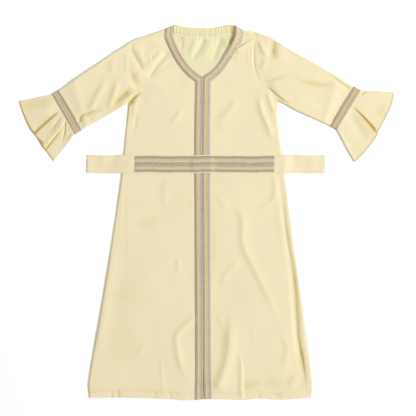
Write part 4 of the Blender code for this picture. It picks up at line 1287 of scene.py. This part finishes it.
class Finish:
    """A material in the making, whose nodes hand back values."""

    def __init__(self, name):
        self.material = bpy.data.materials.new(name)
        self.material.use_nodes = True
        self.tree = self.material.node_tree
        self.surface = self.tree.nodes["Principled BSDF"]

    def node(self, kind, settings=None, inputs=None, output=0):
        """A node: its settings are set first, then its sockets; returns one of its outputs."""
        made = self.tree.nodes.new(kind)
        for name, setting in (settings or {}).items():
            setattr(made, name, setting)
        for socket, value in (inputs or {}).items():
            self.feed(made.inputs[socket], value)
        return Value(self, made.outputs[output])

    def feed(self, socket, value):
        """Links a value to a socket, or sets a number or colour on it."""
        if isinstance(value, Value):
            self.tree.links.new(value.socket, socket)
        else:
            socket.default_value = value

    def maths(self, operation, first, second=0.0):
        return self.node("ShaderNodeMath", {"operation": operation}, {0: first, 1: second})

    def colours(self, factor, first, second):
        """One colour mixed into another."""
        settings = {"data_type": "RGBA", "blend_type": "MIX"}
        return self.node("ShaderNodeMix", settings, {0: factor, 6: first, 7: second}, output=2)

    def step(self, value, low, high):
        """0 below low, 1 above high and a soft rise between."""
        settings = {"interpolation_type": "SMOOTHSTEP"}
        inputs = {"Value": value, "From Min": low, "From Max": high}
        return self.node("ShaderNodeMapRange", settings, inputs)

    def noise(self, place, scale, detail=2.0):
        """Soft noise; a scale of three numbers stretches it along the axes."""
        if not isinstance(scale, float):
            place = self.node("ShaderNodeMapping", None, {"Vector": place, "Scale": scale})
            scale = 1.0
        inputs = {"Vector": place, "Scale": scale, "Detail": detail}
        return self.node("ShaderNodeTexNoise", None, inputs)

    def twist(self, first, second, pitches):
        """A wave that runs along two coordinates, with a pitch along each."""
        first = first * (math.tau / (pitches[0] * MM))
        return self.maths("SINE", first + second * (math.tau / (pitches[1] * MM)))

    def bump(self, height, strength, distance):
        inputs = {"Strength": strength, "Distance": distance, "Height": height}
        return self.node("ShaderNodeBump", None, inputs)

    def finished(self, tone, normal, roughness, constants=None):
        """The material, with its changing values linked and the even ones set on the sockets."""
        self.feed(self.surface.inputs["Base Color"], tone)
        self.feed(self.surface.inputs["Normal"], normal)
        self.feed(self.surface.inputs["Roughness"], roughness)
        for name, value in (constants or {}).items():
            self.surface.inputs[name].default_value = value
        return self.material


def colour(red, green, blue):
    """Linear colour of 0 to 255 screen values."""
    shares = [value / 255.0 for value in (red, green, blue)]
    linear = [s / 12.92 if s <= 0.04045 else ((s + 0.055) / 1.055) ** 2.4 for s in shares]
    return (*linear, 1.0)


def darker(tone, share):
    """A share of a colour's light."""
    return (*(share * part for part in tone[:3]), 1.0)


# Tones of the cloth; olive, its grain's tone and the painted shade of shallow creases; khaki and
# orange, the painted shade of deeper ones; and the painted shade at which olive and khaki are full
CLOTH = colour(228, 215, 179)
INSIDE = colour(222, 215, 176)
OLIVE_GRAIN_AND_SHADE = colour(215, 202, 152)
SHADE_KHAKI = colour(182, 160, 102)
DEEP_SHADE_ORANGE = colour(220, 158, 50)
YARN = colour(224, 210, 170)
SHADE_OLIVE_AT = 0.30
SHADE_KHAKI_AT = 0.70

# Crepe: its pebbled grain, and threads that are long one way and fine across
PEBBLES = 950.0
MOTTLING = 9.0
MOTTLE_LIGHT = 0.965
WEFT = (260.0, 1900.0, 1.0)
WARP = (1900.0, 260.0, 1.0)
FINE_DETAIL = 3.0
PEBBLE_SHARE = 0.6
GRAIN_STEP = (0.25, 0.75)
GRAIN_SHARE = 0.14
RELIEF = 0.0003
CREPE_RELIEF = 0.6
CREPE_BUMP = 0.35
CREPE_ROUGH = (0.70, 0.82)
CREPE_SHEEN = {"Sheen Weight": 0.08, "Sheen Roughness": 0.45, "Specular IOR Level": 0.25}

# Sewing thread
YARN_FIBRES = (900.0, 2600.0, 900.0)
YARN_LIGHT = 0.85
YARN_RELIEF = 0.0001
YARN_BUMP = 0.4
YARN_ROUGH = 0.6

# Braid: tones of its bands from the inner edge out, the pitches of its weave along and across,
# and for each stretch the places of the brown and of the pale line, the outer silver and how dark
# its gold is
SILVER_SHADE = colour(104, 100, 98)
GOLD_SHADE = colour(164, 140, 92)
BROWN = colour(142, 100, 52)
PALE = colour(230, 206, 162)
BRAID_LIGHT = colour(232, 220, 198)
BRAID_DARK = colour(120, 104, 82)
BRAID_BANDS = rows(
    Band,
    (0.0, colour(186, 183, 178)),
    (4.8, colour(150, 140, 128)),
    (6.3, colour(216, 192, 152)),
    (8.6, colour(214, 187, 143)),
    (11.4, colour(209, 186, 140)),
)
# The far stretch, on the left front, has a lighter outer silver, a painted highlight where its cord
# faces the light; the near one's darker silver is painted shade where its cord faces away
BRAID_LINES = named(
    Lines,
    near=(8.2, 15.8, colour(168, 162, 152), 0.0),
    far=(19.6, 10.0, colour(192, 188, 180), 0.0),
    belt=(20.0, 9.8, colour(168, 162, 152), 0.0),
    right=(12.6, 8.2, colour(168, 162, 152), 0.10),
    left=(8.4, 14.0, colour(170, 163, 150), 0.28),
)
FRONT_BRAID = {"right": "near", "left": "far"}
BAND_SOFT = 0.5
LINE_HALF = 1.3
CORD_PITCHES = (3.6, 2.8)
CHEVRON_PITCHES = (7.0, 5.0)
DOT_PITCHES = (6.2, math.inf)
DOT_STEP = (-0.9, 0.1)
SPECKS = (190.0, 420.0, 1.0)
PATCHES = (26.0, 150.0, 1.0)

# Braid: the share of each tone over its bands; for specks and patches, where their noise starts
# and ends first; its relief of cords, chevrons and specks; and how gold and silver shine
PALE_SHARE = 0.60
BROWN_SHARE = 0.85
CORD_SHARE = 0.30
CHEVRON_SHARE = 0.28
LIGHT_SPECKS = (0.48, 0.72, 0.42)
DARK_SPECKS = (0.50, 0.28, 0.30)
DULL_PATCHES = (0.45, 0.75, 0.24)
BRAID_RELIEF = (0.8, 0.5, 0.6)
BRAID_BUMP = 0.5
GOLD_TO_SILVER_METAL = (0.10, 0.30)
GOLD_TO_SILVER_ROUGH = (0.55, 0.43)
SPECK_ROUGH = 0.1


def crepe(name, cloth):
    """Matt crepe: a pebbled grain, fine crossing threads, and painted shade in its creases, olive
    then gold.
    """
    finish = Finish(name)
    place = finish.node("ShaderNodeTexCoord", output="Object")
    weave = finish.node("ShaderNodeUVMap", {"uv_map": "Weave"})
    gold = finish.node("ShaderNodeAttribute", {"attribute_name": "gold"}, output="Fac")
    pebble = finish.noise(place, PEBBLES, FINE_DETAIL)
    threads = finish.noise(weave, WEFT) * 0.5 + finish.noise(weave, WARP) * 0.5
    grain = finish.step(mix(threads, pebble, PEBBLE_SHARE), *GRAIN_STEP)
    mottle = finish.noise(place, MOTTLING, FINE_DETAIL)
    tone = finish.colours(mottle, cloth, darker(cloth, MOTTLE_LIGHT))
    tone = finish.colours((1.0 - grain) * GRAIN_SHARE, tone, OLIVE_GRAIN_AND_SHADE)
    # Painted shade: the colour is darkened towards olive, then khaki, then orange as it grows
    tone = finish.colours(finish.maths("MINIMUM", gold * (1.0 / SHADE_OLIVE_AT), 1.0), tone, OLIVE_GRAIN_AND_SHADE)
    tone = finish.colours(finish.step(gold, SHADE_OLIVE_AT, SHADE_KHAKI_AT), tone, SHADE_KHAKI)
    tone = finish.colours(finish.step(gold, SHADE_KHAKI_AT, 1.0), tone, DEEP_SHADE_ORANGE)
    normal = finish.bump((pebble + threads) * CREPE_RELIEF, CREPE_BUMP, RELIEF)
    return finish.finished(tone, normal, mix(*CREPE_ROUGH, grain), CREPE_SHEEN)


def braid(name, lines):
    """Woven braid: silver cords at its edges, and a gold middle with a brown and a pale line."""
    finish = Finish(name)
    weave = finish.node("ShaderNodeUVMap", {"uv_map": "Weave"})
    along = finish.node("ShaderNodeSeparateXYZ", None, {"Vector": weave}, output=0)
    across = finish.node("ShaderNodeSeparateXYZ", None, {"Vector": weave}, output=1)

    def beyond(start):
        """0 on the inner side of a place across the ribbon and 1 on its outer side."""
        return finish.step(across, (start - BAND_SOFT) * MM, (start + BAND_SOFT) * MM)

    def line(middle, half):
        """1 along a line at a place across the ribbon."""
        return 1.0 - finish.step(finish.maths("ABSOLUTE", across - middle * MM), 0.0, half * MM)

    def specks(noise, low, high, share):
        """A share of a tone where a noise is strong."""
        return finish.step(noise, low, high) * share

    speck = finish.noise(weave, SPECKS, FINE_DETAIL)
    cord = finish.twist(along, across, CORD_PITCHES)
    middle = finish.maths("ABSOLUTE", across - RIBBON / 2 * MM)
    chevron = finish.twist(along, middle, CHEVRON_PITCHES)
    dots = finish.step(finish.twist(along, across, DOT_PITCHES), *DOT_STEP)
    silver = 1.0 - beyond(INNER_SILVER) * (1.0 - beyond(RIBBON - OUTER_SILVER))
    tone = BRAID_BANDS[0].tone
    for band in (*BRAID_BANDS[1:], Band(RIBBON - OUTER_SILVER, lines.silver)):
        tone = finish.colours(beyond(band.start), tone, band.tone)
    shades = (
        (line(lines.light, 2.0 * LINE_HALF) * PALE_SHARE, PALE),
        (line(lines.brown, LINE_HALF) * dots * BROWN_SHARE, BROWN),
        ((cord * 0.5 + 0.5) * silver * CORD_SHARE, SILVER_SHADE),
        ((chevron * 0.5 + 0.5) * (1.0 - silver) * CHEVRON_SHARE, GOLD_SHADE),
        (specks(speck, *LIGHT_SPECKS), BRAID_LIGHT),
        (specks(speck, *DARK_SPECKS), BRAID_DARK),
        (specks(finish.noise(weave, PATCHES), *DULL_PATCHES) + lines.dark, GOLD_SHADE),
    )
    for share, shade in shades:
        tone = finish.colours(share, tone, shade)
    cord_rise, chevron_rise, speck_rise = BRAID_RELIEF
    height = mix(chevron * chevron_rise, cord * cord_rise, silver) + speck * speck_rise
    finish.feed(finish.surface.inputs["Metallic"], mix(*GOLD_TO_SILVER_METAL, silver))
    rough = mix(*GOLD_TO_SILVER_ROUGH, silver) + SPECK_ROUGH * speck
    return finish.finished(tone, finish.bump(height, BRAID_BUMP, RELIEF), rough)


def thread(name, tone):
    """Sewing thread with a fine twist."""
    finish = Finish(name)
    place = finish.node("ShaderNodeTexCoord", output="Object")
    fibre = finish.noise(place, YARN_FIBRES)
    mixed = finish.colours(fibre, darker(tone, YARN_LIGHT), tone)
    return finish.finished(mixed, finish.bump(fibre, YARN_BUMP, YARN_RELIEF), YARN_ROUGH)


def placed(name, data):
    """A new object in the scene."""
    thing = bpy.data.objects.new(name, data)
    bpy.context.scene.collection.objects.link(thing)
    return thing


def from_shape(name, shape, material):
    """An object whose mesh is a finished shape, in one material."""
    mesh = bpy.data.meshes.new(name)
    shape.to_mesh(mesh)
    shape.free()
    mesh.shade_smooth()
    mesh.materials.append(material)
    return placed(name, mesh)


def cloth_piece(name, surface, wall, material, closed=False):
    """A piece whose outer face runs through a surface's rows of points, with its wall below."""
    count, columns = surface.points.shape[:2]
    shell = bmesh.new()
    bmesh.ops.create_grid(shell, x_segments=columns - 1, y_segments=count - 1, size=1.0)
    weave = shell.loops.layers.uv.new("Weave")
    # Per-point painted shade, which the crepe turns into darker colour
    gold = shell.verts.layers.float.new("gold")
    places = (surface.points.reshape(-1, 3) * MM).tolist()
    shades = np.clip(surface.gold.reshape(-1), 0.0, 1.0).tolist()
    flat = (surface.weave.reshape(-1, 2) * MM).tolist()
    for vert, place, shade in zip(shell.verts, places, shades):
        vert.co = place
        vert[gold] = shade
    for face in shell.faces:
        for loop in face.loops:
            loop[weave].uv = flat[loop.vert.index]
    if closed:
        bmesh.ops.remove_doubles(shell, verts=shell.verts, dist=WELD * MM)
    shell.normal_update()
    highest = max(shell.faces, key=lambda face: face.calc_center_median().z - abs(face.normal.x))
    if highest.normal.z < 0:
        bmesh.ops.reverse_faces(shell, faces=shell.faces)
    piece = from_shape(name, shell, material)
    solid = piece.modifiers.new("Wall", "SOLIDIFY")
    solid.thickness = wall * MM
    solid.offset = -1.0
    solid.use_even_offset = True
    solid.use_quality_normals = True
    shading = piece.modifiers.new("Even shading", "WEIGHTED_NORMAL")
    shading.weight = 100
    return piece


# Rows of stitches: how long they are, how far apart, how thick and how deep in the cloth; and
# where each row starts and ends, with how many points its path has
SEAMS = named(
    Seam,
    hem=(2.6, 1.0, 0.34, 0.42),
    belt=(2.6, 1.0, 0.42, 0.3),
    casing=(2.0, 0.9, 0.35, 0.2),
)
STITCH_FLAT = 0.6
HEM_STITCH_ENDS = (36.0, 398.0, 240)
HEM_STITCH_Y = HEM_FOLD - 3.0
BELT_STITCH_IN = {"right": 7.0, "left": 18.0}
BELT_STITCH_ENDS = (BELT_TOP - 2.0, BELT_FOOT + 2.0, 40)
CASING_STITCH_ENDS = (CASING_ENDS[0] + 2.0, CASING_ENDS[1] - 2.0, 420)


def stitches(name, seam, path, material):
    """A row of stitches along a path of points, each a small rounded bar."""
    path = path - np.array((0.0, 0.0, seam.sunk))
    travelled = lengths(path)
    pitch = seam.length + seam.gap
    row = bmesh.new()
    for index in range(int(travelled[-1] / pitch)):
        ends = (index + 0.5) * pitch + np.array((-seam.length / 2, seam.length / 2))
        start, end = (Vector([np.interp(key, travelled, axis) for axis in path.T]) for key in ends)
        run = end - start
        turn = run.to_track_quat("X", "Z").to_matrix().to_4x4()
        size = Vector((run.length / 2, seam.thick, seam.thick * STITCH_FLAT)) * MM
        place = Matrix.Translation((start + end) / 2 * MM) @ turn @ Matrix.Diagonal((*size, 1.0))
        bmesh.ops.create_icosphere(row, subdivisions=1, radius=1.0, matrix=place)
    return from_shape(name, row, material)


def hem_stitches(side, material):
    """The row of stitches that holds a front's hem fold."""
    x = OUTWARD[side] * np.linspace(*HEM_STITCH_ENDS)
    y = hem_line(x) + HEM_STITCH_Y
    path = joined(x, y, full_height(y) + drape(x, y)[0])
    return stitches(f"hem_stitches_{side}", SEAMS["hem"], path, material)


def belt_stitches(side, material):
    """The row of stitches across one end of the belt."""
    x = BELT_END[side] - OUTWARD[side] * BELT_STITCH_IN[side]
    y = np.linspace(*BELT_STITCH_ENDS)
    path = joined(x, y, belt_height(x, y))
    return stitches(f"belt_stitches_{side}", SEAMS["belt"], path, material)


def casing_stitches(row, material):
    """A row of stitches along the casing, over its gathers."""
    depth = CASING_STITCHES[row]
    x = np.linspace(*CASING_STITCH_ENDS)
    path = joined(x, curve(BACK_NECK, x) - depth, casing_height(x, depth))
    return stitches(f"casing_stitches_{row}", SEAMS["casing"], path, material)


# Studio: the floor, the even light from all round, and the lamps, placed in metres
FLOOR_HALF = 10.0
FLOOR_Z = -0.0004
FLOOR_TONE = (0.95, 0.95, 0.95, 1.0)
FLOOR_ROUGHNESS = 0.9
WHITE = (1.0, 1.0, 1.0, 1.0)
WORLD_LIGHT = 0.58
LAMPS = rows(
    Lamp, ("key", (9.6, -0.7, 6.44), 2.9, 1215.0), ("fill", (-0.1, 2.0, 1.2), 1.2, 7.0)
)

# The photograph: pixels along its side, the pixel that the frame's origin lies at and a pixel's
# size; then the camera's height above the floor, its sensor in millimetres and how far it sees
PHOTO_SIDE = 416
ORIGIN_PIXEL = (202.6, 212.35)
PIXEL = 3.7
CAMERA_HEIGHT = 5.0
SENSOR = 36.0
SIGHT = 60.0


def floor():
    """A plain pale floor, lit until it is white."""
    plane = bmesh.new()
    bmesh.ops.create_grid(plane, x_segments=1, y_segments=1, size=FLOOR_HALF)
    bmesh.ops.translate(plane, verts=plane.verts, vec=(0.0, 0.0, FLOOR_Z))
    finish = Finish("studio_floor")
    finish.surface.inputs["Base Color"].default_value = FLOOR_TONE
    finish.surface.inputs["Roughness"].default_value = FLOOR_ROUGHNESS
    from_shape("studio_floor", plane, finish.material)


def area_lamp(lamp):
    """A large soft area lamp aimed at the garment's middle."""
    data = bpy.data.lights.new(lamp.name, "AREA")
    data.shape = "DISK"
    data.size = lamp.size
    data.energy = lamp.power
    light = placed(lamp.name, data)
    light.location = lamp.place
    light.rotation_mode = "QUATERNION"
    light.rotation_quaternion = (-Vector(lamp.place)).to_track_quat("-Z", "Y")


def camera():
    """The photograph's view: straight down, from far enough off that nothing leans."""
    right = (PHOTO_SIDE / 2 - ORIGIN_PIXEL[0]) * PIXEL * MM
    up = (ORIGIN_PIXEL[1] - PHOTO_SIDE / 2) * PIXEL * MM
    data = bpy.data.cameras.new("view")
    data.sensor_width = SENSOR
    data.lens = SENSOR * CAMERA_HEIGHT / (PHOTO_SIDE * PIXEL * MM)
    data.clip_end = SIGHT
    view = placed("view", data)
    view.location = (right, up, CAMERA_HEIGHT)
    bpy.context.scene.camera = view


def studio():
    """White surroundings, a soft key from the right, a weak fill from the neck's side."""
    world = bpy.data.worlds.new("studio")
    bpy.context.scene.world = world
    world.use_nodes = True
    background = world.node_tree.nodes["Background"]
    background.inputs["Color"].default_value = WHITE
    background.inputs["Strength"].default_value = WORLD_LIGHT
    for lamp in LAMPS:
        area_lamp(lamp)
    bpy.context.scene.view_settings.view_transform = "Standard"


def dress():
    """Every piece of the garment, on the node that it stands for, and its sewing."""
    cloth = crepe("crepe", CLOTH)
    inside = crepe("crepe_inside", INSIDE)
    trims = {kind: braid(f"braid_{kind}", lines) for kind, lines in BRAID_LINES.items()}
    yarn = thread("sewing_thread", YARN)
    upper = belt_braid_surface(BELT_MIDDLE + RIBBON + SEAM / 2, turned=True)
    lower = belt_braid_surface(BELT_MIDDLE - SEAM / 2, turned=False)
    made = {
        "back": cloth_piece("back_cloth", back_surface(), WALL, inside),
        "back_neck_casing": cloth_piece("neck_casing_cloth", casing_surface(), WALL, inside),
        "belt": cloth_piece("belt_cloth", belt_surface(), BELT_WALL, cloth),
        "braid_belt_upper": cloth_piece("belt_braid_upper", upper, RIBBON_WALL, trims["belt"]),
        "braid_belt_lower": cloth_piece("belt_braid_lower", lower, RIBBON_WALL, trims["near"]),
    }
    sewing = [casing_stitches(row, yarn) for row in CASING_STITCHES]
    alongs = np.linspace(0.0, 1.0, SLEEVE_ROWS)
    for side in SIDES:
        sleeve = sleeve_surface(side, dict.fromkeys(EDGES, alongs), 0.0 * alongs, SLEEVE_STEPS)
        trim = trims[FRONT_BRAID[side]]
        cuff = cuff_braid_surface(side)
        pieces = {
            "front": ("front_cloth", front_surface(side), WALL, cloth),
            "braid_front": ("front_braid", front_braid_surface(side), RIBBON_WALL, trim),
            "sleeve": ("sleeve_cloth", sleeve, WALL, cloth, True),
            "braid_cuff": ("cuff_braid", cuff, CUFF_RIBBON_WALL, trims[side], True),
            "flounce": ("flounce_cloth", flounce_surface(side), WALL, cloth, True),
        }
        for node, (name, *look) in pieces.items():
            made[f"{node}_{side}"] = cloth_piece(f"{name}_{side}", *look)
        sewing.append(hem_stitches(side, yarn))
        sewing.append(belt_stitches(side, yarn))
    return made, sewing


# Cut of each cloth that shows, flat, in metres: all round for the tubes of sleeves and flounces,
# one layer for the others; what it lies on; and the trim and stitches on it
CUTS = named(
    Cut,
    back=(0.84, 1.38, 0.86, "laid", (), ()),
    back_neck_casing=(
        0.24, 0.028, None, "gathered", ("back_cloth",),
        ("casing_stitches_top", "casing_stitches_foot"),
    ),
    front_right=(
        0.42, 1.38, 0.424, "laid", ("back_cloth",), ("front_braid_right", "hem_stitches_right")
    ),
    front_left=(
        0.41, 1.38, 0.42, "laid", ("back_cloth",), ("front_braid_left", "hem_stitches_left")
    ),
    sleeve_right=(0.54, 0.43, 0.134, "laid", (), ("cuff_braid_right",)),
    sleeve_left=(0.55, 0.44, 0.142, "laid", (), ("cuff_braid_left",)),
    flounce_right=(0.54, 0.13, 0.058, "laid", (), ()),
    flounce_left=(0.60, 0.13, 0.064, "laid", (), ()),
    belt=(
        0.066, 0.88, None, "laid", ("front_cloth_right", "front_cloth_left"),
        ("belt_braid_upper", "belt_braid_lower", "belt_stitches_right", "belt_stitches_left"),
    ),
)


def declare(made, sewing):
    """Attaches every piece and row of stitches to the root, and hides the frame's parts that the
    pieces stand for.
    """
    for node, piece in made.items():
        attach(piece, "root")
        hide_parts(node)
    for piece in sewing:
        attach(piece, "root")


made, sewing = dress()
declare(made, sewing)
floor()
studio()
camera()
